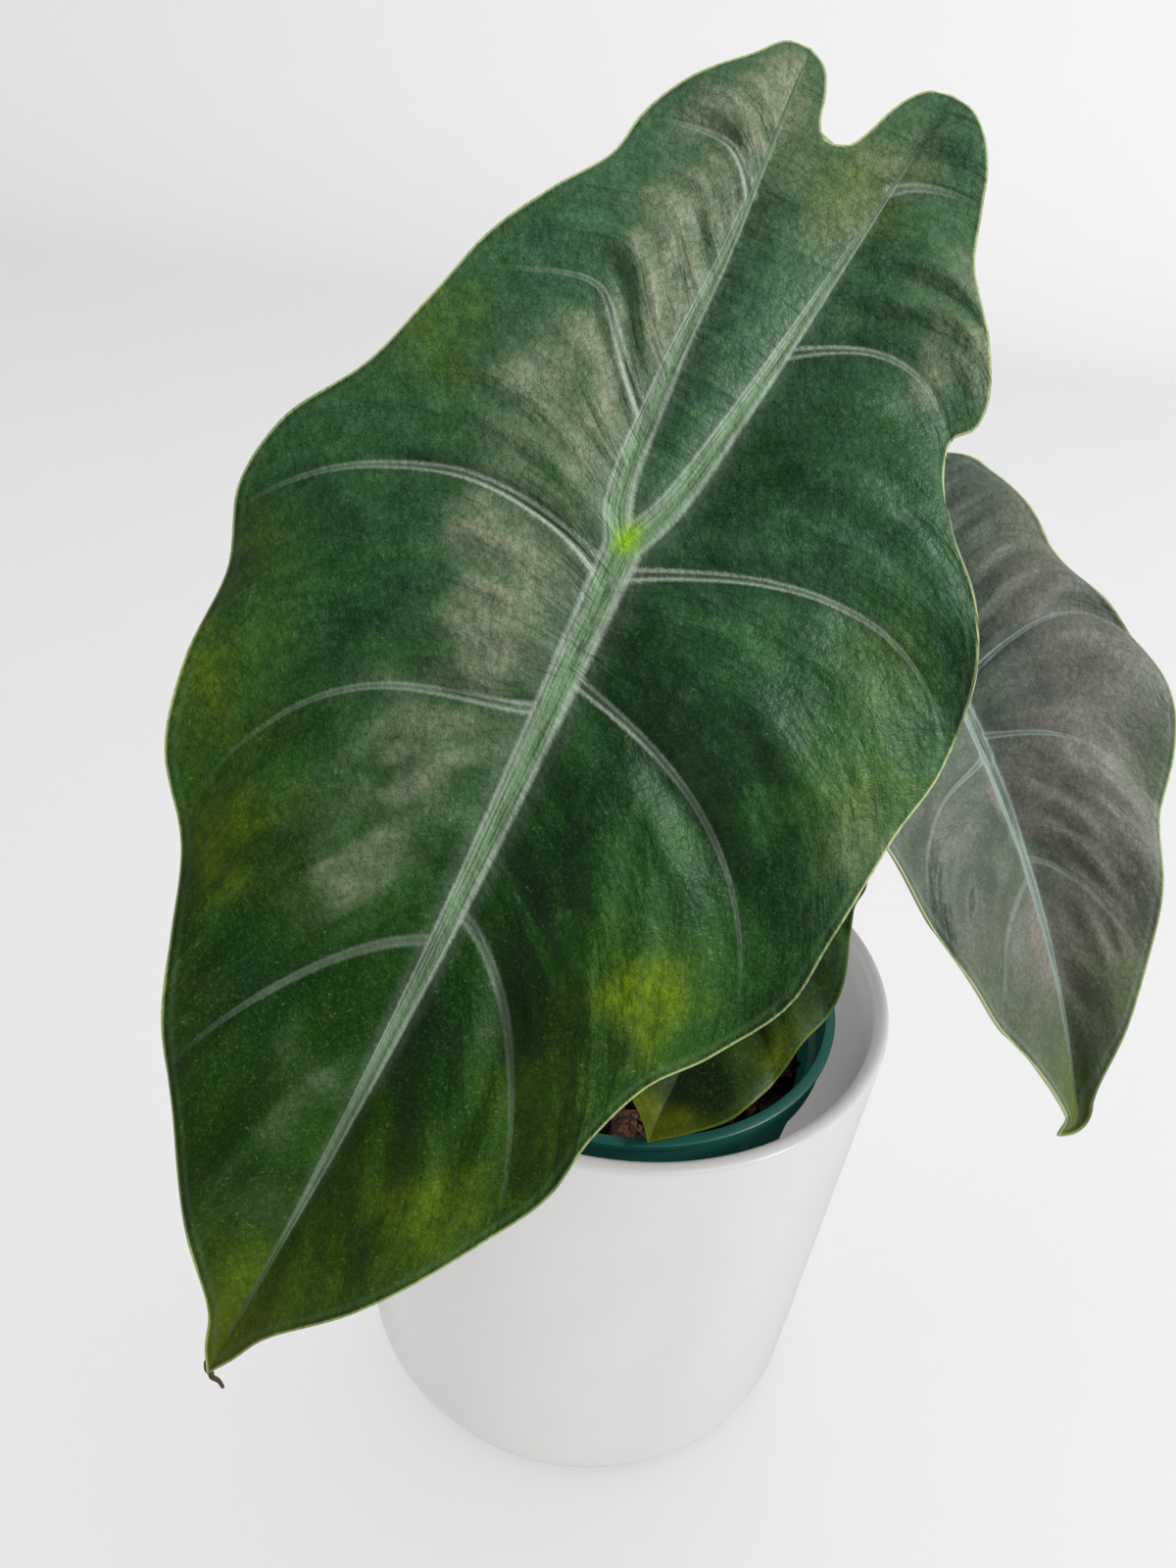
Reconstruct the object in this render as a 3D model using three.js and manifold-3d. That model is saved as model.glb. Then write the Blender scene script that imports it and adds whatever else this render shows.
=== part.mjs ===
// Potted alocasia chantrieri: three arrow-shaped leaves on fleshy stalks that grow from one
// crown in bark mix. The mix fills a thin plastic nursery pot, and that stands loose inside
// a white glazed cover pot.
// Millimetres, +Z up. The origin is the centre of the cover pot's base, on the surface that it
// stands on. The large leaf hangs towards -Y, and +X is on the viewer's right.

import * as THREE from "three";
import { mergeVertices } from "three/addons/utils/BufferGeometryUtils.js";
import Module from "manifold-3d";

const wasm = await Module();
wasm.setup();

const TURN = Math.PI * 2;
const seat = 0.3; // clearance between pieces that touch

// Cover pot: slip-cast, with a rounded foot and a rounded lip
const cover = {
  height: 120.5, rimRadius: 65, footRadius: 60.4, wall: 3.8, floor: 7, footRound: 5, sides: 48,
};

// Nursery pot: blow-moulded, with a straight collar under a turned-out rim
const nursery = {
  top: 114.7, rimRadius: 53, rimInner: 50.3, collarRadius: 51.8, collarHeight: 9.5,
  shoulderRadius: 49.6, baseRadius: 37, wall: 1.2, sides: 44, holes: 6, holeRadius: 4, holeCircle: 24,
};

// Bark mix
const soil = { level: 98, rings: 9, sides: 36, chips: 34, chipReach: 38, chipSeed: 7 };

// Crown: the swollen stem base that carries all the stalks
const crown = { x: -4, y: 24, radius: 12.9, bottom: 84, top: 102, sides: 20 };
const crownHoleRadius = crown.radius + seat;

// Blades. Each leaf has its own outline and lobe ribs, in millimetres from the top of its
// stalk: x to the viewer's right, y towards the lobes, the drip tip at -y. The large leaf is
// the pattern for the side veins, which the smaller leaves repeat at their own scale.
const largeLeaf = {
  name: "large", at: [-11.5, -21.3, 232.8], heading: 3.6, tilt: 58.4, twist: -20.6,
  veinScale: 1, lobeScale: 1, tip: [0, -178], sinus: [0.5, 87], midribBow: 2.8,
  archRadius: 900, lobeArchRadius: 600, fold: 0.16, crest: 45, quilt: 3.2, wave: 1.6,
  thickness: 0.9, edgeThickness: 0.7, ribHeight: 3, ridge: 2.5,
  columns: [0, 0.05, 0.18, 0.34, 0.5, 0.66, 0.82, 1], beside: 0.014, rowGap: 0.07,
  sinusStation: 0.84, lobeStations: [0.856, 0.88, 0.92, 0.97, 0.99],
  left: {
    lobeRib: [[0, 0], [-4.3, 7.2], [-7.2, 33.5], [-8, 59], [-12, 102.6]],
    lobeEdge: [[-1.9, 87.2], [-3.9, 90.2], [-5.4, 95.6], [-8, 100.4]],
    margin: [
      [-12, 102.6], [-16.5, 101.4], [-21, 95], [-28.5, 84.5], [-33.3, 74], [-34.6, 63.5], [-41, 51.5],
      [-48, 38], [-51.4, 24], [-55.2, 8], [-64.5, -8], [-67, -21.5], [-61.5, -36], [-60.5, -54],
      [-57.5, -70.5], [-47, -85.5], [-41, -100], [-35.5, -118], [-26, -133], [-14.5, -151.5],
      [-5, -164.5], [-2.6, -172.5],
    ],
  },
  right: {
    lobeRib: [[0, 0], [4.1, 9.9], [8.2, 34.3], [12.3, 69.3], [16, 107.4]],
    lobeEdge: [[3, 88.3], [5, 92.5], [6.7, 98], [9, 103], [12, 106.3]],
    margin: [
      [16, 107.4], [20.5, 106.2], [24.4, 102.3], [28.2, 95], [30.6, 87.5], [34, 76], [42, 64],
      [47, 53.5], [47, 48.2], [44.4, 45.2], [45.2, 39.5], [50.8, 29.5], [60, 20], [67, 7],
      [69.8, -9.5], [67, -25], [65.4, -46], [64.9, -60], [56.8, -75], [48.6, -85], [43.8, -98],
      [42.4, -111], [39.8, -118.5], [32.4, -131.5], [19.6, -150], [7, -164.5], [3.2, -172.5],
    ],
  },
};

const sideLeaf = {
  name: "side", at: [70.8, 54.5, 183.4], heading: 22, tilt: 50, twist: 14.6,
  veinScale: 0.7, lobeScale: 0.54, tip: [0, -126], sinus: [0, 45], midribBow: 4,
  archRadius: 500, lobeArchRadius: 400, fold: 0.36, crest: 90, quilt: 2.4, wave: 1.2,
  thickness: 0.9, edgeThickness: 0.7, ribHeight: 2.4, ridge: 1.6,
  columns: [0, 0.06, 0.24, 0.46, 0.7, 1], beside: 0.02, rowGap: 0.09,
  sinusStation: 0.81, lobeStations: [0.92, 0.98],
  left: {
    lobeRib: [[0, 0], [-3, 6], [-6, 22], [-10, 55]],
    lobeEdge: [[-1.4, 46], [-4, 51]],
    margin: [
      [-10, 55], [-24, 48], [-31, 36], [-35, 20], [-41, 6], [-45, -10], [-42.6, -26], [-38.6, -41],
      [-34, -56], [-30.5, -68.5], [-24.5, -82.5], [-15, -99], [-6, -115], [-3.6, -120.5],
    ],
  },
  right: {
    lobeRib: [[0, 0], [3, 7], [7, 24], [16, 58]],
    lobeEdge: [[1.8, 46.5], [6, 53]],
    margin: [
      [16, 58], [25, 55.5], [32, 47], [36, 31], [38.4, 15], [44.4, 2], [50.4, -18], [45.8, -38],
      [37.2, -53], [31.2, -68], [24.8, -83.5], [15, -99], [5.2, -113], [2.6, -120.5],
    ],
  },
};

const lowLeaf = {
  name: "low", at: [26.1, 6.1, 139.3], heading: -14, tilt: 12, twist: 0,
  veinScale: 0.36, lobeScale: 0.35, tip: [-1, -65], sinus: [0, 29], midribBow: 1,
  archRadius: 250, lobeArchRadius: 250, fold: 0.2, crest: 16, quilt: 1.2, wave: 0.8,
  thickness: 0.8, edgeThickness: 0.65, ribHeight: 1.4, ridge: 0.8,
  columns: [0, 0.08, 0.36, 0.68, 1], beside: 0.03, rowGap: 0.12,
  sinusStation: 0.8, lobeStations: [0.94],
  left: {
    lobeRib: [[0, 0], [-2, 5], [-4, 18], [-8, 36]],
    lobeEdge: [[-1.2, 30], [-4, 34]],
    margin: [
      [-8, 36], [-18, 30], [-22.5, 18], [-23, 4], [-25.5, -9], [-25, -22], [-21.5, -36], [-15, -50],
      [-7.5, -58], [-3.6, -61.5],
    ],
  },
  right: {
    lobeRib: [[0, 0], [2, 5], [5, 18], [11, 37]],
    lobeEdge: [[1.6, 30], [5.5, 34.5]],
    margin: [
      [11, 37], [21, 32], [26.5, 18], [25.5, 5], [27.5, -9], [27.8, -20], [24, -32], [18.8, -47],
      [14.3, -55.5], [7, -60.8],
    ],
  },
};

// Side veins of the large leaf, from the drip tip up to the lobes. root is how far up the
// midrib or the lobe rib a vein starts and meets is where it reaches the margin, both as y.
// leave and arrive are the handles of its Bezier curve at those two ends.
const venation = {
  left: [
    { root: -79, meets: -125, leave: [-16, -4], arrive: [-1, 8] },
    { root: -31.5, meets: -80, leave: [-16, -9], arrive: [10, 47] },
    { root: -6, meets: -26, leave: [-30, 15], arrive: [8, 15] },
    { root: 23, meets: 32, leave: [-23, 18], arrive: [33, 15] },
    { root: 70, meets: 73, leave: [-8, 10], arrive: [13, 5] },
  ],
  right: [
    { root: -72, meets: -124.5, leave: [15, -4], arrive: [-4, 22] },
    { root: -24, meets: -71, leave: [14, -5], arrive: [-14, 42] },
    { root: -5, meets: -8, leave: [18, 9], arrive: [-19, 29] },
    { root: 45.5, meets: 43, leave: [13, 8], arrive: [-9, 17] },
    { root: 83.5, meets: 88, leave: [4, 5], arrive: [1, 3] },
  ],
};

const ribFade = 0.1; // share of the blade's length over which the ribs fade out at the tips

// Stalks: the points of each centreline, from the crown up to the underside of the blade
const stalks = {
  large: {
    baseRadius: 5, topRadius: 3,
    base: [-10, 20], through: [[-12.5, 20.5, 140], [-14, 18, 178], [-13.6, 10, 206], [-12.6, -3, 223.5]],
  },
  side: {
    baseRadius: 4.6, topRadius: 2.6,
    base: [-3, 31], through: [[-1, 34.5, 122], [6, 43, 143], [20, 54, 161], [40, 64, 174], [58, 67, 179.5]],
  },
  low: {
    baseRadius: 4, topRadius: 2,
    base: [3.5, 20.5], through: [[5, 20, 112], [11, 16.5, 122.5], [20.5, 10.5, 130.5]],
  },
};
const stalkSides = 10;
const stalkSteps = 16;

// Materials
const finish = (color, roughness) => new THREE.MeshStandardMaterial({ color, roughness, metalness: 0 });
const whiteGlaze = finish("#f1f1f0", 0.3);
const greenPlastic = finish("#1f5a50", 0.5);
const barkMix = finish("#3a2a20", 0.95);
const crownSkin = finish("#6f6a4a", 0.8);
const stalkSkin = finish("#8fa86a", 0.5);
const leafSkin = finish("#2c4f31", 0.45);

// A small seeded random number between 0 and 1
function randomFrom(seed) {
  let state = seed;
  return () => {
    state = (state * 16807) % 2147483647;
    return state / 2147483647;
  };
}

// Position-only copy of a geometry with shared vertices merged and collapsed faces dropped
function welded(geometry) {
  const bare = new THREE.BufferGeometry();
  bare.setAttribute("position", geometry.getAttribute("position").clone());
  if (geometry.index) bare.setIndex(geometry.index.clone());
  const merged = mergeVertices(bare, 1e-3);
  const kept = [];
  const corners = merged.index.array;
  for (let i = 0; i < corners.length; i += 3) {
    const [a, b, c] = [corners[i], corners[i + 1], corners[i + 2]];
    if (a !== b && b !== c && c !== a) kept.push(a, b, c);
  }
  merged.setIndex(kept);
  return merged;
}

// Turns a closed geometry's faces outwards, judged by the sign of the volume that they enclose
function outward(geometry) {
  const place = geometry.getAttribute("position");
  const corners = geometry.index.array;
  const [a, b, c] = [new THREE.Vector3(), new THREE.Vector3(), new THREE.Vector3()];
  let volume = 0;
  for (let i = 0; i < corners.length; i += 3) {
    a.fromBufferAttribute(place, corners[i]);
    b.fromBufferAttribute(place, corners[i + 1]);
    c.fromBufferAttribute(place, corners[i + 2]);
    volume += a.dot(b.cross(c));
  }
  if (volume < 0) geometry.setIndex(Array.from(corners).reverse());
  return geometry;
}

// Closed geometry to boolean solid, and back
function solidOf(geometry) {
  const closed = outward(welded(geometry));
  return new wasm.Manifold(new wasm.Mesh({
    numProp: 3,
    vertProperties: new Float32Array(closed.getAttribute("position").array),
    triVerts: new Uint32Array(closed.index.array),
  }));
}

function geometryOf(solid) {
  const mesh = solid.getMesh();
  const geometry = new THREE.BufferGeometry();
  geometry.setAttribute("position", new THREE.BufferAttribute(new Float32Array(mesh.vertProperties), 3));
  geometry.setIndex(Array.from(mesh.triVerts));
  return geometry;
}

// Solid of revolution about Z from [radius, z] points
function turned(profile, sides) {
  const geometry = new THREE.LatheGeometry(profile.map(([r, z]) => new THREE.Vector2(r, z)), sides);
  geometry.rotateX(Math.PI / 2);
  return outward(welded(geometry));
}

// Quarter round from one [radius, z] point to another, bulging to the given corner
function rounded(from, corner, to, steps) {
  const arc = [];
  for (let i = 1; i < steps; i += 1) {
    const angle = (i / steps) * Math.PI / 2;
    const [near, far] = [1 - Math.sin(angle), 1 - Math.cos(angle)];
    arc.push([
      corner[0] + (from[0] - corner[0]) * near + (to[0] - corner[0]) * far,
      corner[1] + (from[1] - corner[1]) * near + (to[1] - corner[1]) * far,
    ]);
  }
  return arc;
}

// Cover pot
function coverRadius(z) {
  return cover.footRadius + (cover.rimRadius - cover.footRadius) * z / cover.height;
}

function coverPotGeometry() {
  const half = cover.wall / 2;
  const { height, footRound, floor } = cover;
  const outerLip = [coverRadius(height - half), height - half];
  const crestOfLip = [cover.rimRadius - half, height];
  const innerLip = [coverRadius(height - half) - cover.wall, height - half];
  const footEnd = [cover.footRadius - footRound, 0];
  const footSide = [coverRadius(footRound), footRound];
  const innerFoot = [coverRadius(floor + footRound) - cover.wall, floor + footRound];
  const floorEdge = [innerFoot[0] - footRound, floor];
  return turned([
    [0, 0], footEnd, ...rounded(footEnd, [cover.footRadius, 0], footSide, 3), footSide,
    outerLip, ...rounded(outerLip, [outerLip[0], height], crestOfLip, 2), crestOfLip,
    ...rounded(crestOfLip, [innerLip[0], height], innerLip, 2), innerLip,
    innerFoot, ...rounded(innerFoot, [innerFoot[0], floor], floorEdge, 2), floorEdge, [0, floor],
  ], cover.sides);
}

// Nursery pot
const nurseryBottom = cover.floor + seat;
const shoulderTop = nursery.top - nursery.collarHeight;
const innerBaseRadius = nursery.baseRadius - nursery.wall;
const innerShoulderRadius = nursery.shoulderRadius - nursery.wall;
const innerFloor = nurseryBottom + nursery.wall;

function nurseryPotGeometry() {
  const lip = nursery.top - 1.8;
  const wall = turned([
    [0, nurseryBottom], [nursery.baseRadius - 2, nurseryBottom], [nursery.baseRadius, nurseryBottom + 2],
    [nursery.shoulderRadius, shoulderTop - 1.5], [nursery.collarRadius, shoulderTop],
    [nursery.collarRadius, lip], [nursery.rimRadius, lip + 0.5], [nursery.rimRadius, nursery.top - 0.5],
    [nursery.rimRadius - 0.6, nursery.top], [nursery.rimInner + 0.4, nursery.top],
    [nursery.rimInner, nursery.top - 0.5], [nursery.rimInner, shoulderTop + 0.4],
    [innerShoulderRadius, shoulderTop - 1.1], [innerBaseRadius, innerFloor + 1],
    [innerBaseRadius - 1, innerFloor], [0, innerFloor],
  ], nursery.sides);
  let solid = solidOf(wall);
  for (let i = 0; i < nursery.holes; i += 1) {
    const angle = (i / nursery.holes) * TURN;
    const [x, y] = [nursery.holeCircle * Math.cos(angle), nursery.holeCircle * Math.sin(angle)];
    const drain = new THREE.CylinderGeometry(nursery.holeRadius, nursery.holeRadius, 4 * nursery.wall, 12);
    drain.rotateX(Math.PI / 2);
    drain.translate(x, y, nurseryBottom + nursery.wall / 2);
    solid = solid.subtract(solidOf(drain));
  }
  return geometryOf(solid);
}

// Bark mix: a root ball that fills the nursery pot, with a plain hole for the crown and bark
// chips fused half sunk into its uneven top
function soilHeight(x, y) {
  const mounds = 1.1 * Math.sin(0.19 * x + 1.3) * Math.cos(0.17 * y);
  return soil.level + mounds + 0.7 * Math.sin(0.41 * x - 0.33 * y);
}

function soilGeometry() {
  const bottomZ = innerFloor + seat;
  const slope = (innerShoulderRadius - innerBaseRadius) / (shoulderTop - 1.1 - innerFloor - 1);
  const topRadius = innerBaseRadius + slope * (soil.level - 3 - innerFloor - 1) - 2 * seat;
  const profile = [
    [0, bottomZ], [innerBaseRadius - 1 - 2 * seat, bottomZ], [innerBaseRadius - 3 * seat, bottomZ + 2],
    [topRadius, soil.level - 3],
  ];
  for (let ring = soil.rings; ring >= 0; ring -= 1) {
    profile.push([(topRadius * ring) / soil.rings, soil.level]);
  }
  const ball = turned(profile, soil.sides);
  const place = ball.getAttribute("position");
  for (let i = 0; i < place.count; i += 1) {
    if (place.getZ(i) > soil.level - 1) place.setZ(i, soilHeight(place.getX(i), place.getY(i)));
  }
  let solid = solidOf(ball);

  const random = randomFrom(soil.chipSeed);
  let laid = 0;
  while (laid < soil.chips) {
    const angle = random() * TURN;
    const reach = soil.chipReach * Math.sqrt(random());
    const [x, y] = [reach * Math.cos(angle), reach * Math.sin(angle)];
    const chip = new THREE.BoxGeometry(8 + 6 * random(), 5 + 3 * random(), 4 + 2 * random());
    const corners = chip.getAttribute("position");
    const shear = [random() - 0.5, random() - 0.5, random() - 0.5];
    for (let i = 0; i < corners.count; i += 1) {
      const [cx, cy, cz] = [corners.getX(i), corners.getY(i), corners.getZ(i)];
      corners.setXYZ(i, cx + shear[0] * cy, cy + shear[1] * cz, cz + 0.4 * shear[2] * cx);
    }
    chip.rotateY(0.5 * (random() - 0.5));
    chip.rotateX(0.5 * (random() - 0.5));
    chip.rotateZ(random() * TURN);
    chip.translate(x, y, soilHeight(x, y) + 0.4);
    if (Math.hypot(x - crown.x, y - crown.y) > crown.radius + 9) {
      solid = solid.add(solidOf(chip));
      laid += 1;
    }
  }

  const hole = new THREE.CylinderGeometry(crownHoleRadius, crownHoleRadius, 40, crown.sides);
  hole.rotateX(Math.PI / 2);
  hole.translate(crown.x, crown.y, crown.bottom - seat + 20);
  return geometryOf(solid.subtract(solidOf(hole)));
}

// Crown
function crownGeometry() {
  const { radius, bottom, top } = crown;
  const geometry = turned([
    [0, bottom], [radius * 0.7, bottom + 1], [radius * 0.97, bottom + 6], [radius, soil.level - 3],
    [radius * 0.97, soil.level + 1], [radius * 0.88, top - 1], [radius * 0.8, top], [0, top],
  ], crown.sides);
  geometry.translate(crown.x, crown.y, 0);
  return geometry;
}

// Smooth curve through [x, y] points, and the point on it at a given y
function smooth(points) {
  const path = points.map(([x, y]) => new THREE.Vector3(x, y, 0));
  return new THREE.CatmullRomCurve3(path, false, "centripetal");
}

function pointAt(curve, y) {
  let [high, low] = [0, 1];
  const falling = curve.getPoint(0).y > curve.getPoint(1).y;
  for (let i = 0; i < 40; i += 1) {
    const middle = (high + low) / 2;
    if ((curve.getPoint(middle).y > y) === falling) high = middle;
    else low = middle;
  }
  return curve.getPoint(high);
}

// One half of a blade: its margin, its lobe rib and its veins, all as curves of y
function halfOf(leaf, side) {
  const { margin, lobeRib, lobeEdge } = leaf[side];
  const scaled = (value) => value * (value < 0 ? leaf.veinScale : leaf.lobeScale);
  const lobeTop = margin[0][1];
  const still = { leave: [0, 0], arrive: [0, 0] };
  return {
    sign: side === "left" ? -1 : 1,
    margin: smooth([...margin, leaf.tip]),
    lobeRib: smooth(lobeRib),
    lobeEdge: smooth([leaf.sinus, ...lobeEdge, margin[0]]),
    lobeTop,
    veins: [
      { root: leaf.tip[1], meets: leaf.tip[1], ...still },
      ...venation[side].map((vein) => ({
        root: scaled(vein.root),
        meets: scaled(vein.meets),
        leave: vein.leave.map((value) => value * leaf.veinScale),
        arrive: vein.arrive.map((value) => value * leaf.veinScale),
      })),
      { root: lobeTop, meets: lobeTop, ...still },
    ],
  };
}

// Midrib and lobe ribs: the spine from which the rows of a half-blade run out
function spinePoint(leaf, half, y) {
  if (y > 0) return pointAt(half.lobeRib, y);
  const bow = leaf.midribBow * Math.sin((Math.PI * y) / leaf.tip[1]);
  return new THREE.Vector3(bow + leaf.tip[0] * (y / leaf.tip[1]) ** 2, y, 0);
}

// Stations where the rows of both half-blades start: -1 is the drip tip, 0 the top of the
// stalk and 1 the top of a lobe. There is one at every vein's root and one on either side of
// it, and more where two neighbours lie far apart.
function stationsOf(leaf, halves) {
  const stationOf = (half, y) => y / (y < 0 ? -leaf.tip[1] : half.lobeTop);
  const roots = halves.flatMap((half) => half.veins.map((vein) => stationOf(half, vein.root)));
  const stations = [...new Set([...roots, 0, leaf.sinusStation, ...leaf.lobeStations])];
  const clearOf = (value) => stations.every((other) => Math.abs(other - value) > 0.6 * leaf.beside);
  for (const root of roots) {
    for (const value of [root - leaf.beside, root + leaf.beside]) {
      if (Math.abs(value) < 1 && clearOf(value)) stations.push(value);
    }
  }
  stations.sort((a, b) => a - b);
  return stations.flatMap((station, i) => {
    const gap = (stations[i + 1] ?? station) - station;
    const parts = Math.max(1, Math.ceil(gap / leaf.rowGap));
    return Array.from({ length: parts }, (_, part) => station + (gap * part) / parts);
  });
}

// Rows of a half-blade. A row is a Bezier curve from the spine to the margin, and its share is
// how far it lies from one vein to the next.
function rowsOf(leaf, half, stations) {
  return stations.map((station) => {
    const y = station * (station < 0 ? -leaf.tip[1] : half.lobeTop);
    const next = half.veins.findIndex((vein, i) => i > 0 && vein.root >= y - 1e-6);
    const [a, b] = [half.veins[next - 1], half.veins[next]];
    const share = Math.max(0, Math.min(1, (y - a.root) / (b.root - a.root)));
    const mix = (from, to) => from + (to - from) * share;
    const start = spinePoint(leaf, half, y);
    const end = pointAt(half.margin, mix(a.meets, b.meets));
    const leave = new THREE.Vector3(mix(a.leave[0], b.leave[0]), mix(a.leave[1], b.leave[1]), 0);
    const arrive = new THREE.Vector3(mix(a.arrive[0], b.arrive[0]), mix(a.arrive[1], b.arrive[1]), 0);
    const curve = new THREE.CubicBezierCurve3(start, leave.add(start), arrive.add(end), end);
    return { station, y, curve, share, onVein: share < 1e-6 || share > 1 - 1e-6 };
  });
}

// Relief. The blade arches along its length, each half rises from the midrib and falls again
// to the margin, and the skin swells between the veins and waves at the margin.
function archHeight(leaf, y) {
  return -(y * y) / (2 * (y < 0 ? leaf.archRadius : leaf.lobeArchRadius));
}

function halfHeight(leaf, row, start, point, s) {
  const reach = start.distanceTo(point);
  const swell = 1 - (2 * row.share - 1) ** 2;
  const size = Math.min(1, row.curve.v0.distanceTo(row.curve.v3) / (0.35 * Math.abs(leaf.tip[1])));
  return archHeight(leaf, point.y)
    + leaf.fold * reach * (1 - reach / (2 * leaf.crest))
    + leaf.quilt * size * swell * Math.sin(Math.PI * 0.9 * s)
    - leaf.wave * size * s ** 3 * Math.cos(TURN * row.share);
}

// Thickness of the blade with the rib under it, which thins out to the drip tip and lobe tops
function depthAt(leaf, row, s) {
  const along = row.station < 0 ? -row.station : row.station / 2;
  const midrib = leaf.ribHeight * (1 - 0.85 * along);
  const sideRib = row.onVein ? 0.5 * leaf.ribHeight * (1 - 0.8 * s) : 0;
  const body = (leaf.thickness - leaf.edgeThickness) * (1 - s) + (s === 0 ? midrib : sideRib);
  const fade = Math.min(1, (1 - Math.abs(row.station)) / ribFade);
  return leaf.edgeThickness + fade * body;
}

// Blade: one closed solid with an upper and a lower face alike in their triangles, and a rim
function bladeGeometry(leaf) {
  const places = [];
  const face = (a, b, c, turnOver) => places.push(...(turnOver ? [a, c, b] : [a, b, c]));
  const upper = (node) => [node.x, node.y, node.top];
  const lower = (node) => [node.x, node.y, node.top - node.depth];
  const patch = (grid, direction, isEdge) => {
    const turnOver = direction < 0;
    for (let i = 0; i + 1 < grid.length; i += 1) {
      for (let j = 0; j + 1 < grid[i].length; j += 1) {
        const [a, b, c, d] = [grid[i][j], grid[i][j + 1], grid[i + 1][j + 1], grid[i + 1][j]];
        face(upper(a), upper(b), upper(c), turnOver);
        face(upper(a), upper(c), upper(d), turnOver);
        face(lower(a), lower(c), lower(b), turnOver);
        face(lower(a), lower(d), lower(c), turnOver);
      }
      if (!isEdge(i)) continue;
      const last = grid[i].length - 1;
      const [p, q] = [grid[i][last], grid[i + 1][last]];
      face(upper(p), lower(p), lower(q), turnOver);
      face(upper(p), lower(q), upper(q), turnOver);
    }
  };

  const halves = [halfOf(leaf, "left"), halfOf(leaf, "right")];
  const stations = stationsOf(leaf, halves);
  const atSinus = stations.indexOf(leaf.sinusStation) - stations.indexOf(0);
  for (const half of halves) {
    const rows = rowsOf(leaf, half, stations);
    const outer = rows.map((row) => leaf.columns.map((s) => {
      const point = row.curve.getPoint(s);
      const top = halfHeight(leaf, row, row.curve.v0, point, s);
      return { x: point.x, y: point.y, top, depth: depthAt(leaf, row, s) };
    }));
    patch(outer, half.sign, () => true);

    const first = stations.indexOf(0);
    const inner = rows.slice(first).map((row, k) => {
      const rib = outer[first + k][0];
      const onSeam = k <= atSinus;
      const alongSeam = row.station / leaf.sinusStation;
      const pastSinus = (row.station - leaf.sinusStation) / (1 - leaf.sinusStation);
      const end = onSeam
        ? new THREE.Vector3(leaf.sinus[0] * alongSeam, leaf.sinus[1] * alongSeam, 0)
        : pointAt(half.lobeEdge, leaf.sinus[1] + (half.lobeTop - leaf.sinus[1]) * pastSinus);
      const rise = onSeam ? leaf.ridge * Math.sin(Math.PI * alongSeam) : 0;
      const endTop = archHeight(leaf, end.y) + rise;
      const seamDepth = k === 0 ? rib.depth : leaf.edgeThickness;
      return [0, 0.5, 1].map((s) => ({
        x: rib.x + (end.x - rib.x) * s,
        y: rib.y + (end.y - rib.y) * s,
        top: rib.top + (endTop - rib.top) * Math.sin((Math.PI / 2) * s),
        depth: s === 0 ? rib.depth : seamDepth,
      }));
    });
    patch(inner, -half.sign, (i) => i >= atSinus);
  }
  const geometry = new THREE.BufferGeometry();
  geometry.setAttribute("position", new THREE.Float32BufferAttribute(places.flat(), 3));
  return outward(welded(geometry));
}

// Stalk: a cylinder bent along its centreline, widest at the sheath round its base, with its
// top cut parallel to the blade
function stalkGeometry(stalk, end, normal) {
  const line = new THREE.CatmullRomCurve3([
    new THREE.Vector3(...stalk.base, crown.top + seat),
    new THREE.Vector3(...stalk.base, crown.top + seat + 3),
    ...stalk.through.map((point) => new THREE.Vector3(...point)), end,
  ], false, "centripetal");
  const frames = line.computeFrenetFrames(stalkSteps, false);
  const geometry = new THREE.CylinderGeometry(1, 1, 1, stalkSides, stalkSteps);
  const place = geometry.getAttribute("position");
  for (let i = 0; i < place.count; i += 1) {
    const step = Math.round((place.getY(i) + 0.5) * stalkSteps);
    const share = step / stalkSteps;
    const radius = stalk.topRadius + (stalk.baseRadius - stalk.topRadius) * (1 - share) ** 1.6;
    const spoke = frames.normals[step].clone().multiplyScalar(radius * place.getX(i));
    spoke.addScaledVector(frames.binormals[step], radius * place.getZ(i));
    if (step === stalkSteps) {
      const tangent = frames.tangents[step];
      spoke.addScaledVector(tangent, -spoke.dot(normal) / tangent.dot(normal));
    }
    const corner = spoke.add(line.getPointAt(share));
    place.setXYZ(i, corner.x, corner.y, corner.z);
  }
  return outward(welded(geometry));
}

function named(name, geometry, material) {
  const mesh = new THREE.Mesh(geometry, material);
  mesh.name = name;
  return mesh;
}

// Each blade is turned in three steps: its twist in its own plane, its tilt, and its heading
function placedBlade(leaf) {
  const blade = named(`blade_${leaf.name}`, bladeGeometry(leaf), leafSkin);
  blade.rotation.z = THREE.MathUtils.degToRad(leaf.twist);
  const tilted = new THREE.Group();
  tilted.rotation.x = THREE.MathUtils.degToRad(leaf.tilt);
  tilted.add(blade);
  const headed = new THREE.Group();
  headed.position.set(...leaf.at);
  headed.rotation.z = THREE.MathUtils.degToRad(leaf.heading);
  headed.add(tilted);
  headed.updateMatrixWorld(true);
  return { group: headed, blade };
}

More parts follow.
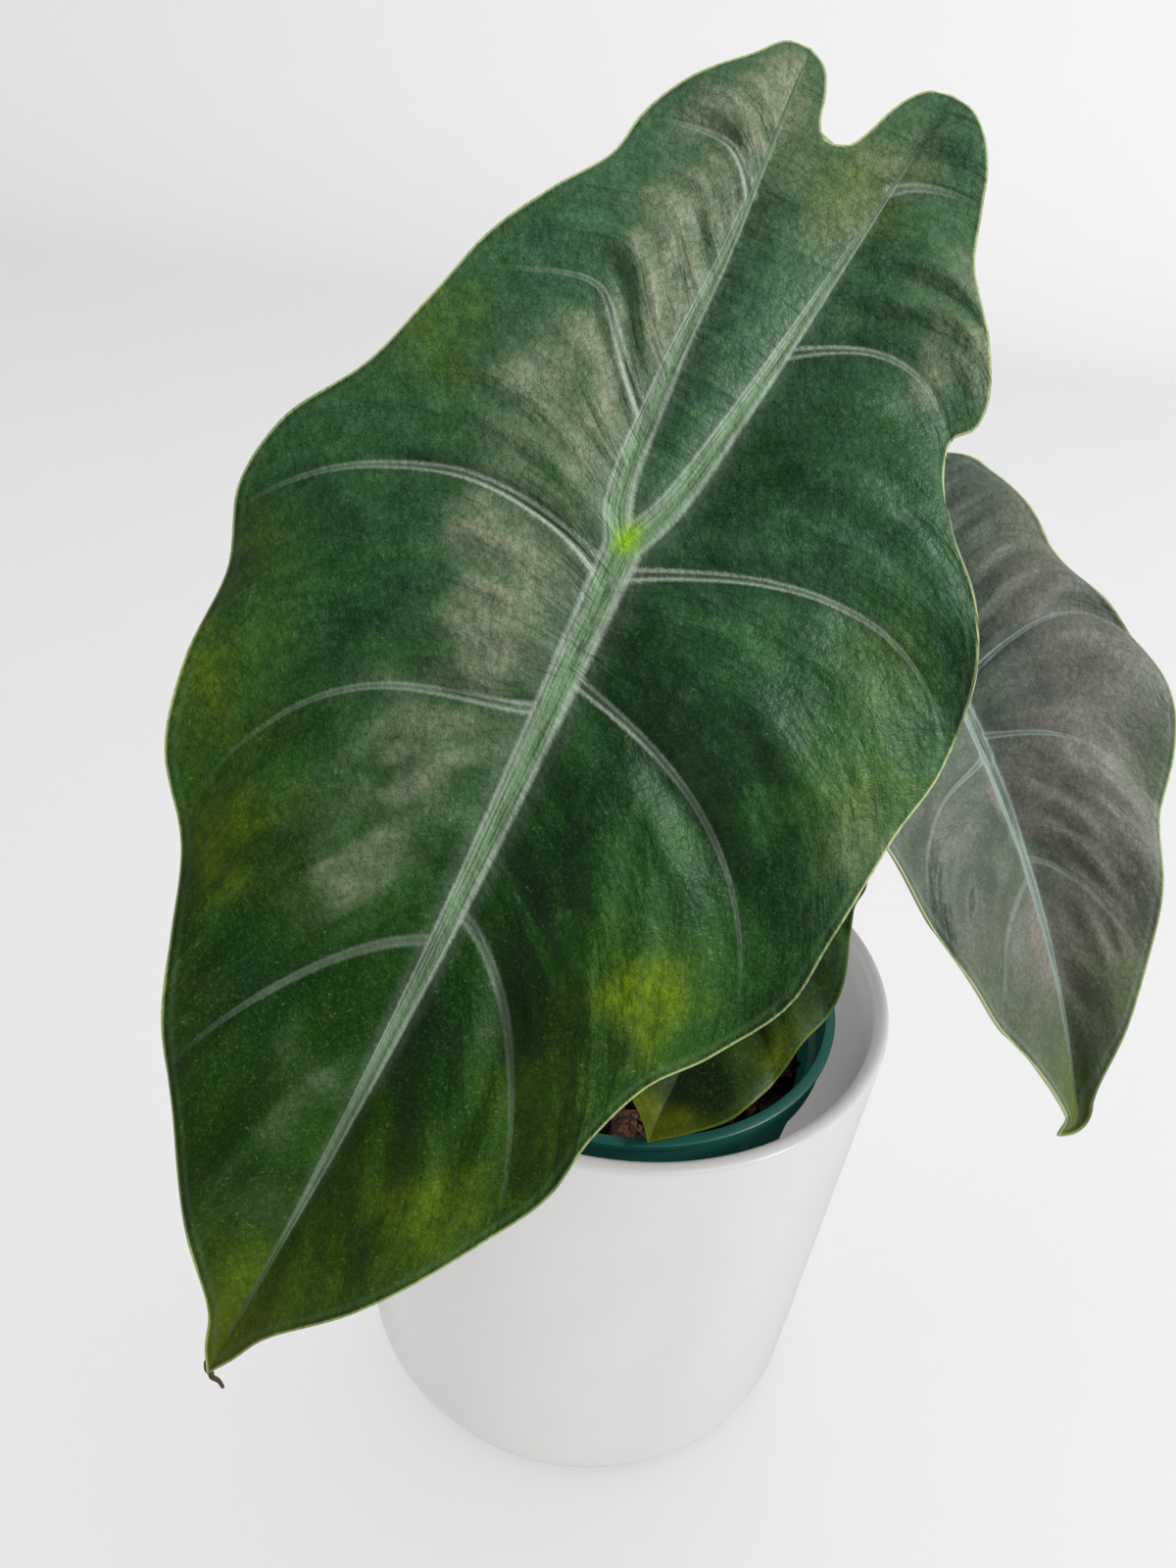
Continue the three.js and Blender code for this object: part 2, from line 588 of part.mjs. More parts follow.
const plant = new THREE.Group();
plant.add(named("cover_pot", coverPotGeometry(), whiteGlaze));
plant.add(named("nursery_pot", nurseryPotGeometry(), greenPlastic));
plant.add(named("soil", soilGeometry(), barkMix));
plant.add(named("crown", crownGeometry(), crownSkin));
for (const leaf of [largeLeaf, sideLeaf, lowLeaf]) {
  const { group, blade } = placedBlade(leaf);
  const underside = new THREE.Vector3(0, 0, -leaf.thickness - leaf.ribHeight - seat);
  const end = blade.localToWorld(underside);
  const normal = new THREE.Vector3(0, 0, 1).transformDirection(blade.matrixWorld);
  plant.add(group);
  plant.add(named(`petiole_${leaf.name}`, stalkGeometry(stalks[leaf.name], end, normal), stalkSkin));
}

export default plant;
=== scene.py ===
# %% [markdown]
# # Dressing a potted alocasia
#
# The solid model behind this scene already has the right sizes: two pots one inside the other, bark
# mix, a crown, and three leaves on fleshy stalks. Blender gives it the looks. Each cell below makes
# one piece or one finish, and the cell before it says what that piece is on the real plant.

# %% Load the solid model
import math
import bmesh
import bpy
import numpy as np
from mathutils import Matrix, Vector, noise


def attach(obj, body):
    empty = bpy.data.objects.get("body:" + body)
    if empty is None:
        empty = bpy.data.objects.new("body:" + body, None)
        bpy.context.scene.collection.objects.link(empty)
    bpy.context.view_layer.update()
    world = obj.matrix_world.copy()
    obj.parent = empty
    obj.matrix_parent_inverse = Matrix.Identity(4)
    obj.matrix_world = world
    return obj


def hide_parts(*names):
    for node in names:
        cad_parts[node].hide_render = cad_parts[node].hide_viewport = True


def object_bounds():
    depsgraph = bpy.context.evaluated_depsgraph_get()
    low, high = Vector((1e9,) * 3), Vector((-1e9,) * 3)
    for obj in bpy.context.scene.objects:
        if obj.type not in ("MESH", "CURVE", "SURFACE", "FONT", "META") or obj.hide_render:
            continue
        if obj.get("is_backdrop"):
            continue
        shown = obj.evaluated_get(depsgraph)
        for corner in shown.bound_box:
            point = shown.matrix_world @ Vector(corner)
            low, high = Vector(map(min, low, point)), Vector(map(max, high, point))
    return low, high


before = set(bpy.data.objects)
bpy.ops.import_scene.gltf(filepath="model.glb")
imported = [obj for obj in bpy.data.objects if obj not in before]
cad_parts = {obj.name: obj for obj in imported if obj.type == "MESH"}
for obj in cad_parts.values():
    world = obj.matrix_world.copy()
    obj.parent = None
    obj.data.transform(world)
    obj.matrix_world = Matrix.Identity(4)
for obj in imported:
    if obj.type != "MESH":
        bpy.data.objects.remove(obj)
solid_box = [list(corner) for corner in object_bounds()]
MM = 0.001
print("solid model", [round(high - low, 3) for low, high in zip(*solid_box)], "m")

# %% [markdown]
# ## The camera
#
# The photograph looks down on the plant at about 32 degrees, from a little to the right of its middle,
# and the camera was held slightly crooked. The three turns are made in that order, so each number can
# be read on its own: round the vertical, up from the floor, and about the line of sight.

# %% Camera
def turn_about(axis, degrees):
    return Matrix.Rotation(math.radians(degrees), 4, axis)


def put(name, data):
    """A new object in the scene, made of that data"""
    made = bpy.data.objects.new(name, data)
    bpy.context.scene.collection.objects.link(made)
    return made


camera_place = (0, -0.2257, 0.3085)
round_vertical, looking_down, crooked = 3.57, 31.61, 6.51  # degrees
camera = put("camera", bpy.data.cameras.new("camera"))
camera.data.sensor_width = 36
camera.data.lens = 27.05
camera.data.clip_start = 0.01
camera.matrix_world = (
    Matrix.Translation(camera_place) @ turn_about("Z", round_vertical)
    @ turn_about("X", 90 - looking_down) @ turn_about("Z", crooked)
)
bpy.context.scene.camera = camera
print("camera at", [round(value, 3) for value in camera.location])

# %% [markdown]
# ## Colours, nodes and finished pieces
#
# Blender mixes light in linear colour, while a colour that is read off a screen is sRGB. One function
# turns the hex value of a colour into linear values. Another adds a shader node with its settings and
# links in one call and hands back the output that is asked for, so a material reads as a recipe.

# %% Helpers for materials
def linear(hex_colour):
    parts = [int(hex_colour[i:i + 2], 16) / 255 for i in (1, 3, 5)]
    return [p / 12.92 if p <= 0.04045 else ((p + 0.055) / 1.055) ** 2.4 for p in parts] + [1.0]


def feed(tree, node, inputs):
    """Gives each input of a node a link, a hex colour or a value"""
    for key, value in inputs.items():
        if isinstance(value, bpy.types.NodeSocket):
            tree.links.new(value, node.inputs[key])
        else:
            node.inputs[key].default_value = linear(value) if isinstance(value, str) else value


def add(tree, kind, inputs=None, out=0, **settings):
    made = tree.nodes.new(kind)
    for name, value in settings.items():
        setattr(made, name, value)
    feed(tree, made, inputs or {})
    return made.outputs[out] if made.outputs else None


def material_named(name):
    material = bpy.data.materials.new(name)
    material.use_nodes = True
    tree = material.node_tree
    tree.nodes.clear()
    shaded = add(tree, "ShaderNodeBsdfPrincipled")
    add(tree, "ShaderNodeOutputMaterial", {"Surface": shaded})
    return material, tree, shaded.node


# %% [markdown]
# A finished mesh becomes an object that sits at the origin, unturned, with its place in its mesh. It
# rides on the one body of the model and stands for the solid that it was made from.

# %% Helpers for pieces
SHARP = 40  # degrees between two faces from which their edge looks sharp


def mesh_from(bm, name):
    mesh = bpy.data.meshes.new(name)
    bm.to_mesh(mesh)
    bm.free()
    return mesh


def settled(piece):
    """The mesh of the object with its modifiers applied; the object goes"""
    graph = bpy.context.evaluated_depsgraph_get()
    mesh = bpy.data.meshes.new_from_object(piece.evaluated_get(graph), depsgraph=graph)
    old = piece.data
    bpy.data.objects.remove(piece)
    bpy.data.meshes.remove(old)
    return mesh


def finished(shape, name, materials, node, sharp=SHARP):
    mesh = mesh_from(shape, name) if isinstance(shape, bmesh.types.BMesh) else shape
    for material in materials[len(mesh.materials):]:
        mesh.materials.append(material)
    mesh.shade_smooth()
    mesh.set_sharp_from_angle(angle=math.radians(sharp))
    piece = put(name, mesh)
    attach(piece, "root")
    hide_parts(node)
    return piece


# %% [markdown]
# ## The cover pot
#
# It is slip-cast: liquid clay dries against a plaster mould, so the wall is one even thickness and
# every edge is soft. Turning a half section about the axis gives that shape, and the rings where the
# section has a corner are bevelled afterwards, as a potter wipes an edge with a sponge.

# %% Turned shapes
SAME_PLACE = 1e-6  # metres: vertices closer than this are one


def turned(section, steps):
    """Solid of revolution about Z from points of radius and height in millimetres"""
    bm = bmesh.new()
    points = [bm.verts.new((radius * MM, 0, height * MM)) for radius, height in section]
    lines = [bm.edges.new(pair) for pair in zip(points, points[1:])]
    bmesh.ops.spin(
        bm, geom=points + lines, axis=(0, 0, 1), cent=(0, 0, 0), angle=math.tau, steps=steps, use_merge=True,
    )
    bmesh.ops.remove_doubles(bm, verts=bm.verts, dist=SAME_PLACE)
    bmesh.ops.recalc_face_normals(bm, faces=bm.faces)
    return bm


def soften(bm, radius, height, width, segments):
    """Bevels the ring of edges at that radius and height"""
    def on_ring(vertex):
        off = math.hypot(vertex.co.x, vertex.co.y) - radius * MM
        return max(abs(off), abs(vertex.co.z - height * MM)) < 10 * SAME_PLACE

    ring = [edge for edge in bm.edges if all(on_ring(vertex) for vertex in edge.verts)]
    bmesh.ops.bevel(
        bm, geom=ring, offset=width * MM, segments=segments, profile=0.5, affect="EDGES", material=-1,
    )


# %% Cover pot
cover_height, rim_radius, foot_radius, wall, floor_height = 120.5, 65, 60.4, 3.8, 7
foot_bevel, lip_bevel = 5, 1.8
wall_rings = (30, 60, 90)  # heights at which the wall is divided


def cover_radius(height):
    return foot_radius + (rim_radius - foot_radius) * height / cover_height


foot, inner_foot = cover_radius(0), cover_radius(floor_height) - wall
inner_rim = rim_radius - wall
cover_section = [(0, 0), (foot, 0)]
cover_section += [(cover_radius(height), height) for height in wall_rings]
cover_section += [(rim_radius, cover_height), (inner_rim, cover_height)]
cover_section += [(cover_radius(height) - wall, height) for height in reversed(wall_rings)]
cover_section += [(inner_foot, floor_height), (0, floor_height)]
cover = turned(cover_section, steps=160)
for radius, height, width, segments in (
    (foot, 0, foot_bevel, 6), (inner_foot, floor_height, foot_bevel, 5),
    (rim_radius, cover_height, lip_bevel, 5), (inner_rim, cover_height, lip_bevel, 5),
):
    soften(cover, radius, height, width, segments)
print("cover pot", len(cover.faces), "faces")

# %% [markdown]
# The glaze is a thin, fired glass over white clay. It gives a satin white with a soft reflection, and
# it pools and thins just enough to break the surface at the size of a fingertip. The foot is wiped
# clean of glaze before firing so that the pot doesn't stick to the shelf: there the bare clay shows.

# %% White glaze
white_glaze, tree, surface = material_named("glazed_white_earthenware")
place = add(tree, "ShaderNodeTexCoord", out="Object")
height = add(tree, "ShaderNodeSeparateXYZ", {"Vector": place}, "Z")
# Glaze ripple about 20 mm across
ripple = add(tree, "ShaderNodeTexNoise", {"Vector": place, "Scale": 50, "Detail": 1})
# Pinholes and dust under the glaze, drawn at 0.8 mm so that they show
speck = add(tree, "ShaderNodeTexNoise", {"Vector": place, "Scale": 1200, "Detail": 2})
tone = add(tree, "ShaderNodeMix", {0: ripple, 6: "#efefed", 7: "#f6f5f3"}, 2, data_type="RGBA")
bare = add(tree, "ShaderNodeMapRange", {
    "Value": height, "From Min": 0.0004, "From Max": 0.0012, "To Min": 1, "To Max": 0,
})
clay = add(tree, "ShaderNodeMix", {0: speck, 6: "#cfc6b8", 7: "#e2dacd"}, 2, data_type="RGBA")
colour = add(tree, "ShaderNodeMix", {0: bare, 6: tone, 7: clay}, 2, data_type="RGBA")
rough = add(tree, "ShaderNodeMapRange", {"Value": bare, "To Min": 0.32, "To Max": 0.85})
fine = add(tree, "ShaderNodeBump", {"Height": speck, "Distance": 0.00003, "Strength": 0.5})
soft = add(tree, "ShaderNodeBump", {"Height": ripple, "Distance": 0.0004, "Normal": fine, "Strength": 0.5})
feed(tree, surface, {"Base Color": colour, "Roughness": rough, "Normal": soft, "IOR": 1.5})
cover_object = finished(cover, "cover_pot_glazed", [white_glaze], "cover_pot")
print("white glaze on the cover pot")

# %% [markdown]
# ## The nursery pot
#
# Growers use a thin pot of blow-moulded polypropylene. It has a stiff collar under the rim and a cone
# for a body. The wall is one thin line that doubles back on itself, so one turned section gives the
# outside and the inside, and the rim rolls over between them.

# %% Nursery pot
top, shoulder, base, shell, fillet = 114.7, 105.2, 7.3, 1.2, 0.5
rim, collar, collar_inner = 53, 51.8, 50.3
nursery = turned([
    (0, base), (35, base), (37, base + 2), (49.6, shoulder - 1.5), (collar, shoulder), (collar, top - 1.8),
    (rim, top - 1.3), (rim, top - 0.4), (52.4, top), (50.7, top), (collar_inner, top - 0.5),
    (collar_inner, shoulder + 0.4), (48.4, shoulder - 1.1), (35.8, base + 2.2), (34.8, base + shell),
    (0, base + shell),
], steps=144)
soften(nursery, collar, shoulder, fillet, 3)
soften(nursery, collar_inner, shoulder + 0.4, fillet, 3)
print("nursery pot turned,", len(nursery.faces), "faces")

# %% [markdown]
# Water drains through a ring of holes in the base. They could be inset into its faces one by one, but a
# boolean with six pegs cuts them all at once and leaves their edges crisp, as a punch does.

# %% Drainage holes
hole_count, hole_circle, hole_radius, peg_length = 6, 24, 4, 6
pegs = bmesh.new()
for i in range(hole_count):
    turn = i * math.tau / hole_count
    spot = (hole_circle * MM * math.cos(turn), hole_circle * MM * math.sin(turn), base * MM)
    bmesh.ops.create_cone(
        pegs, cap_ends=True, segments=24, radius1=hole_radius * MM, radius2=hole_radius * MM,
        depth=peg_length * MM, matrix=Matrix.Translation(spot),
    )
peg_object = put("pegs", mesh_from(pegs, "pegs"))
pot_object = put("pot", mesh_from(nursery, "nursery_pot_moulded"))
cut = pot_object.modifiers.new("holes", "BOOLEAN")
cut.operation = "DIFFERENCE"
cut.object = peg_object
holed = settled(pot_object)
bpy.data.objects.remove(peg_object)
print("nursery pot with its holes,", len(holed.polygons), "faces")

# %% [markdown]
# The plastic is coloured right through with a dark blue-green. It left the mould satin, and fine lines
# run round it where the mould was turned on a lathe. Soil and hard water leave a pale bloom on it.

# %% Dark green plastic
green_plastic, tree, surface = material_named("polypropylene_dark_green")
place = add(tree, "ShaderNodeTexCoord", out="Object")
# Bloom in patches of 11 mm
bloom = add(tree, "ShaderNodeTexNoise", {"Vector": place, "Scale": 90, "Detail": 4})
dust = add(tree, "ShaderNodeMapRange", {"Value": bloom, "From Min": 0.5, "From Max": 0.75, "To Max": 0.3})
colour = add(tree, "ShaderNodeMix", {0: dust, 6: "#16483f", 7: "#3b6a5f"}, 2, data_type="RGBA")
# Turning marks of the mould, drawn 1 mm apart so that they show
marks = add(tree, "ShaderNodeTexWave", {
    "Vector": place, "Scale": 320, "Distortion": 0.4, "Detail": 1,
}, "Fac", bands_direction="Z")
bump = add(tree, "ShaderNodeBump", {"Height": marks, "Distance": 0.00003, "Strength": 0.5})
feed(tree, surface, {"Base Color": colour, "Normal": bump, "Roughness": 0.33, "IOR": 1.49})
nursery_object = finished(holed, "nursery_pot_moulded", [green_plastic], "nursery_pot")
print("green plastic on the nursery pot")

# %% [markdown]
# ## The bark mix
#
# Aroids are potted in a loose mix of bark chips and peat. The body of the mix is a turned plug that
# fills the pot, and only its top shows. Its section is divided finely there, so that the vertices can
# be lifted and sunk one by one.

# %% Body of the mix
soil_level, soil_base, soil_radius, soil_rings = 98, 8.8, 46.8, 40


def soil_height(x, y):
    mounds = 1.1 * math.sin(0.19 * x + 1.3) * math.cos(0.17 * y)
    return soil_level + mounds + 0.7 * math.sin(0.41 * x - 0.33 * y)


mix = turned([
    (0, soil_base), (34.2, soil_base), (34.9, soil_base + 2), (soil_radius, soil_level - 3),
    *((soil_radius * i / soil_rings, soil_level) for i in range(soil_rings, -1, -1)),
], steps=96)
# The top is lumpy: mounds as the solid has them, and crumbs of 2 mm and 0.8 mm
for vertex in mix.verts:
    if vertex.co.z > (soil_level - 1) * MM:
        x, y = vertex.co.x / MM, vertex.co.y / MM
        crumbs = 0.8 * noise.noise(Vector((x, y, 0)) * 0.5) + 0.5 * noise.noise(Vector((x, y, 7)) * 1.3)
        vertex.co.z = (soil_height(x, y) + crumbs) * MM
print("bark mix", len(mix.verts), "vertices")

# %% [markdown]
# A chip of bark is a broken block. It starts as a cube that is cut finer, sheared and knocked out of
# true, then turned and laid half sunk. Physics could drop the chips into place, but then they would
# land elsewhere on each run. A small seeded random number keeps each chip in its place, and seeded
# noise keeps its shape.

# %% Bark chips
crown_x, crown_y, crown_radius = -4, 24, 12.9


def random_from(seed):
    """Evenly spread numbers between 0 and 1, the same on each run"""
    factor, prime, state = 16807, 2147483647, seed
    while True:
        state = state * factor % prime
        yield state / prime


draw = random_from(seed=7).__next__
# Blender's noise vectors start from the clock unless they are given a seed, and any number will do
lump_seed = 1795767491
noise.seed_set(lump_seed)


def lay_chip(size, shear, turns, spot, cuts):
    chip = bmesh.new()
    bmesh.ops.create_cube(chip, size=1)
    bmesh.ops.subdivide_edges(chip, edges=chip.edges, cuts=cuts, use_grid_fill=True)
    # Faces are knocked out of true in lumps of 3 mm, by up to a sixth of the thinnest side
    tumble = turn_about("Z", turns[2]) @ turn_about("X", turns[1]) @ turn_about("Y", turns[0])
    for vertex in chip.verts:
        x, y, z = (vertex.co[i] * size[i] for i in range(3))
        place = Vector((x + shear[0] * y, y + shear[1] * z, z + 0.4 * shear[2] * x))
        rough = noise.noise_vector(place * 0.35 + Vector(spot)) * 0.16 * min(size)
        vertex.co = (tumble @ (place + rough) + Vector(spot)) * MM
    for face in chip.faces:
        face.material_index = 1
    mesh = mesh_from(chip, "chip")
    mix.from_mesh(mesh)
    bpy.data.meshes.remove(mesh)


# %% [markdown]
# The large chips lie nearly flat, where the solid model has them. Hundreds of small ones fill the gaps
# and lie as they fell, so they are tilted more. Both kinds stay clear of the crown.

# %% Large and small chips
def scatter(count, reach, clear, tilt, cuts, size_of, lift_of):
    """Lays chips within reach of the pot's axis and clear of the crown, all in millimetres"""
    laid = 0
    while laid < count:
        angle, out = draw() * math.tau, reach * math.sqrt(draw())
        x, y = out * math.cos(angle), out * math.sin(angle)
        size = size_of()
        shear = [draw() - 0.5 for _ in range(3)]
        turns = [tilt * (draw() - 0.5), tilt * (draw() - 0.5), 360 * draw()]
        if math.hypot(x - crown_x, y - crown_y) > crown_radius + clear:
            lay_chip(size, shear, turns, (x, y, soil_height(x, y) + lift_of()), cuts)
            laid += 1
    print(count, "chips,", len(mix.faces), "faces in all")


def large_size():
    return 8 + 6 * draw(), 5 + 3 * draw(), 4 + 2 * draw()


def small_size():
    length = 2 + 5 * draw() ** 2
    return length, length * (0.4 + 0.4 * draw()), length * (0.25 + 0.3 * draw())


scatter(
    count=34, reach=38, clear=9, tilt=math.degrees(0.5), cuts=2, size_of=large_size, lift_of=lambda: 0.4,
)
scatter(
    count=420, reach=45, clear=2, tilt=50, cuts=1, size_of=small_size, lift_of=lambda: 0.3 + 0.8 * draw(),
)

# %% [markdown]
# Damp peat is nearly black and takes no shine. Bark is redder where it has just broken, and grey-brown
# where it has weathered, so each chip draws its tone from a pattern about as large as a chip.

# %% Peat and bark
peat, tree, surface = material_named("damp_peat")
place = add(tree, "ShaderNodeTexCoord", out="Object")
# Crumbs of 1.4 mm
crumb = add(tree, "ShaderNodeTexNoise", {"Vector": place, "Scale": 700, "Detail": 5})
colour = add(tree, "ShaderNodeMix", {0: crumb, 6: "#120c08", 7: "#35271c"}, 2, data_type="RGBA")
bump = add(tree, "ShaderNodeBump", {"Height": crumb, "Distance": 0.0012, "Strength": 0.8})
feed(tree, surface, {"Base Color": colour, "Normal": bump, "Roughness": 0.95})

bark, tree, surface = material_named("pine_bark_chips")
place = add(tree, "ShaderNodeTexCoord", out="Object")
# Weathering in patches of 9 mm, and layers of the bark 1.2 mm apart
weather = add(tree, "ShaderNodeTexNoise", {"Vector": place, "Scale": 110, "Detail": 0})
spread = add(tree, "ShaderNodeMapRange", {"Value": weather, "From Min": 0.35, "From Max": 0.7})
layers = add(tree, "ShaderNodeTexWave", {
    "Vector": place, "Scale": 260, "Distortion": 9, "Detail": 3, "Detail Scale": 1.5,
}, "Fac", bands_direction="Z")
tone = add(tree, "ShaderNodeMix", {0: spread, 6: "#2a1a11", 7: "#7b4a28"}, 2, data_type="RGBA")
colour = add(tree, "ShaderNodeMix", {0: layers, 6: tone, 7: "#2b1d15"}, 2, data_type="RGBA")
bump = add(tree, "ShaderNodeBump", {"Height": layers, "Distance": 0.0005, "Strength": 0.7})
feed(tree, surface, {"Base Color": colour, "Normal": bump, "Roughness": 0.85})
finished(mix, "bark_mix_loose", [peat, bark], "soil", sharp=30)
print("peat and bark")

# %% [markdown]
# ## The crown
#
# The stalks grow from a short swollen stem. Old leaves leave rings of papery scars round it, which are
# modelled as small steps in the turned section, with a little unevenness so that no ring is a circle.

# %% Crown
scar_count, scar_step, scar_level, fray_depth = 5, 1.25, 96, 0.35
crown_section = [(0, 84), (9, 85), (12.5, 90), (crown_radius, 95)]
for step in range(scar_count):
    level = scar_level + scar_step * step
    edge = crown_radius - 0.12 * step ** 2  # rounds off towards the top
    crown_section += [(edge, level), (edge - 0.1, level + 0.9), (edge - 0.6, level + 1.0)]
crown = turned(crown_section + [(9.4, 101.9), (4, 102), (0, 102)], steps=72)
for vertex in crown.verts:
    out = Vector((vertex.co.x, vertex.co.y, 0))
    if out.length > 2 * MM and vertex.co.z > (scar_level - 0.5) * MM:
        fray = noise.noise(Vector((vertex.co.x, vertex.co.y, vertex.co.z * 2)) * 400)
        vertex.co -= out.normalized() * (fray_depth * abs(fray)) * MM
bmesh.ops.translate(crown, verts=crown.verts, vec=(crown_x * MM, crown_y * MM, 0))
print("crown with", scar_count, "leaf scars")

# %% [markdown]
# The scars are the dry bases of old leaf sheaths: papery, fibrous along the stem, and olive brown.

# %% Papery scars
papery, tree, surface = material_named("papery_leaf_scars")
place = add(tree, "ShaderNodeTexCoord", out="Object")
# Fibres 1.1 mm wide and 6 mm long, and rings 2.4 mm apart
along = add(tree, "ShaderNodeMapping", {"Vector": place, "Scale": (900, 900, 160)})
fibres = add(tree, "ShaderNodeTexNoise", {"Vector": along, "Scale": 1, "Detail": 4})
rings = add(tree, "ShaderNodeTexWave", {
    "Vector": place, "Scale": 130, "Distortion": 3, "Detail": 2,
}, "Fac", bands_direction="Z")
tone = add(tree, "ShaderNodeMix", {0: rings, 6: "#4a4026", 7: "#8a8455"}, 2, data_type="RGBA")
colour = add(tree, "ShaderNodeMix", {0: fibres, 6: tone, 7: "#5d3b2c"}, 2, data_type="RGBA")
bump = add(tree, "ShaderNodeBump", {"Height": fibres, "Distance": 0.0003, "Strength": 0.6})
feed(tree, surface, {"Base Color": colour, "Normal": bump, "Roughness": 0.7})
finished(crown, "crown_scarred", [papery], "crown")
print("papery scars on the crown")

# %% [markdown]
# ## How a blade is drawn
#
# An alocasia leaf is shaped by its veins. Everything is measured in millimetres in the leaf's own
# plane, from the top of its stalk: x to the viewer's right, y towards the lobes, the drip tip at -y.
# Smooth curves give the margin and the ribs of the lobes, and side veins run out from the midrib as
# curves with a handle at each end. Each row of the mesh lies between two side veins and bends as they
# do, so the relief and the colours can follow the veins without any drawing by hand.

# %% Smooth curves
def smooth(points, steps=40):
    """Smooth curve through points that lie unevenly far apart, as a dense list of places on it"""
    inner = np.array(points, float)
    ends = [2 * inner[0] - inner[1]], [2 * inner[-1] - inner[-2]]
    path = np.concatenate([ends[0], inner, ends[1]])
    t = np.linspace(0, 1, steps, endpoint=False)[:, None]
    spans = []
    for a, b, c, d in zip(path, path[1:], path[2:], path[3:]):
        before, here, after = (np.linalg.norm(q - p) ** 0.5 for p, q in ((a, b), (b, c), (c, d)))
        leave = here * ((b - a) / before - (c - a) / (before + here) + (c - b) / here)
        arrive = here * ((c - b) / here - (d - b) / (here + after) + (d - c) / after)
        spans.append(b + leave * t + (3 * (c - b) - 2 * leave - arrive) * t ** 2
                     + (2 * (b - c) + leave + arrive) * t ** 3)
    return np.concatenate(spans + [inner[-1:]])


def x_at(path, y):
    order = 1 if path[0, 1] < path[-1, 1] else -1
    return np.interp(y, path[::order, 1], path[::order, 0])


def handled_curve(corners, t):
    """Places on the curve between the outer two corners, with the inner two as its handles"""
    a, b, c, d = corners
    return a * (1 - t) ** 3 + 3 * b * t * (1 - t) ** 2 + 3 * c * t ** 2 * (1 - t) + d * t ** 3


# %% [markdown]
# The side veins of the large leaf are the pattern for all three leaves. root says how far up the
# midrib or the lobe rib a vein starts, and meets where it reaches the margin. shows is how plain it is
# to the eye, and the other two are the handles of its curve.

# %% Side veins
side_veins = {
    "left": [
        dict(root=-79, shows=0.34, meets=-125, leave=(-16, -4), arrive=(-1, 8)),
        dict(root=-31.5, shows=0.7, meets=-80, leave=(-16, -9), arrive=(10, 47)),
        dict(root=-6, shows=1, meets=-26, leave=(-30, 15), arrive=(8, 15)),
        dict(root=23, shows=0.9, meets=32, leave=(-23, 18), arrive=(33, 15)),
        dict(root=70, shows=0.8, meets=73, leave=(-8, 10), arrive=(13, 5)),
    ],
    "right": [
        dict(root=-72, shows=0.38, meets=-124.5, leave=(15, -4), arrive=(-4, 22)),
        dict(root=-24, shows=0.85, meets=-71, leave=(14, -5), arrive=(-14, 42)),
        dict(root=-5, shows=1, meets=-8, leave=(18, 9), arrive=(-19, 29)),
        dict(root=45.5, shows=0.9, meets=43, leave=(13, 8), arrive=(-11, 15)),
        dict(root=83.5, shows=0.6, meets=88, leave=(4, 4), arrive=(-5, 1)),
    ],
}
print(", ".join(f"{len(veins)} side veins on the {side}" for side, veins in side_veins.items()))

# %% [markdown]
# The large leaf hangs in front of the pot and faces the viewer. Its right lobe is nipped in above the
# widest place, and both halves wave gently from vein to vein.

# %% Large leaf
large_leaf = dict(
    name="large", at=(-11.5, -21.3, 232.8), heading=3.6, tilt=58.4, twist=-20.6, vein_scale=1, lobe_scale=1,
    tip=(0, -178), sinus=(0.5, 87), midrib_bow=2.8, arch=900, lobe_arch=600, fold=0.16, crest=45, quilt=3.2,
    wave=1.6, thickness=0.9, edge_thickness=0.7, rib_height=3, ridge=2.5, sinus_station=0.84,
    rows_mm=1.0, columns=62, rib_width=3.5, vein_width=1.2, lobe_shows=1,
    left=dict(
        lobe_rib=[(0, 0), (-4.3, 7.2), (-7.2, 33.5), (-8, 59), (-12, 102.6)],
        lobe_edge=[(-1.9, 87.2), (-3.9, 90.2), (-5.4, 95.6), (-8, 100.4)],
        margin=[
            (-12, 102.6), (-16.5, 101.4), (-21, 95), (-28.5, 84.5), (-33.3, 74), (-34.6, 63.5), (-41, 51.5),
            (-48, 38), (-51.4, 24), (-55.2, 8), (-64.5, -8), (-67, -21.5), (-61.5, -36), (-60.5, -54),
            (-57.5, -70.5), (-47, -85.5), (-41, -100), (-35.5, -118), (-26, -133), (-14.5, -151.5),
            (-5, -164.5), (-2.6, -172.5),
        ],
    ),
    right=dict(
        lobe_rib=[(0, 0), (4.1, 9.9), (8.2, 34.3), (12.3, 69.3), (16, 107.4)],
        lobe_edge=[(3, 88.3), (5, 92.5), (6.7, 98), (9, 103), (12, 106.3)],
        margin=[
            (16, 107.4), (20.5, 106.2), (24.4, 102.3), (28.2, 95), (30.6, 87.5), (34, 76), (42, 64),
            (47, 53.5), (47, 48.2), (44.4, 45.2), (45.2, 39.5), (50.8, 29.5), (60, 20), (67, 7),
            (69.8, -9.5), (67, -25), (65.4, -46), (64.9, -60), (56.8, -75), (48.6, -85), (43.8, -98),
            (42.4, -111), (39.8, -118.5), (32.4, -131.5), (19.6, -150), (7, -164.5), (3.2, -172.5),
        ],
    ),
)
print("large leaf, drip tip", -large_leaf["tip"][1], "mm below the stalk")

# %% [markdown]
# The side leaf is younger. It stands behind the large one, folded along its midrib like an open book.

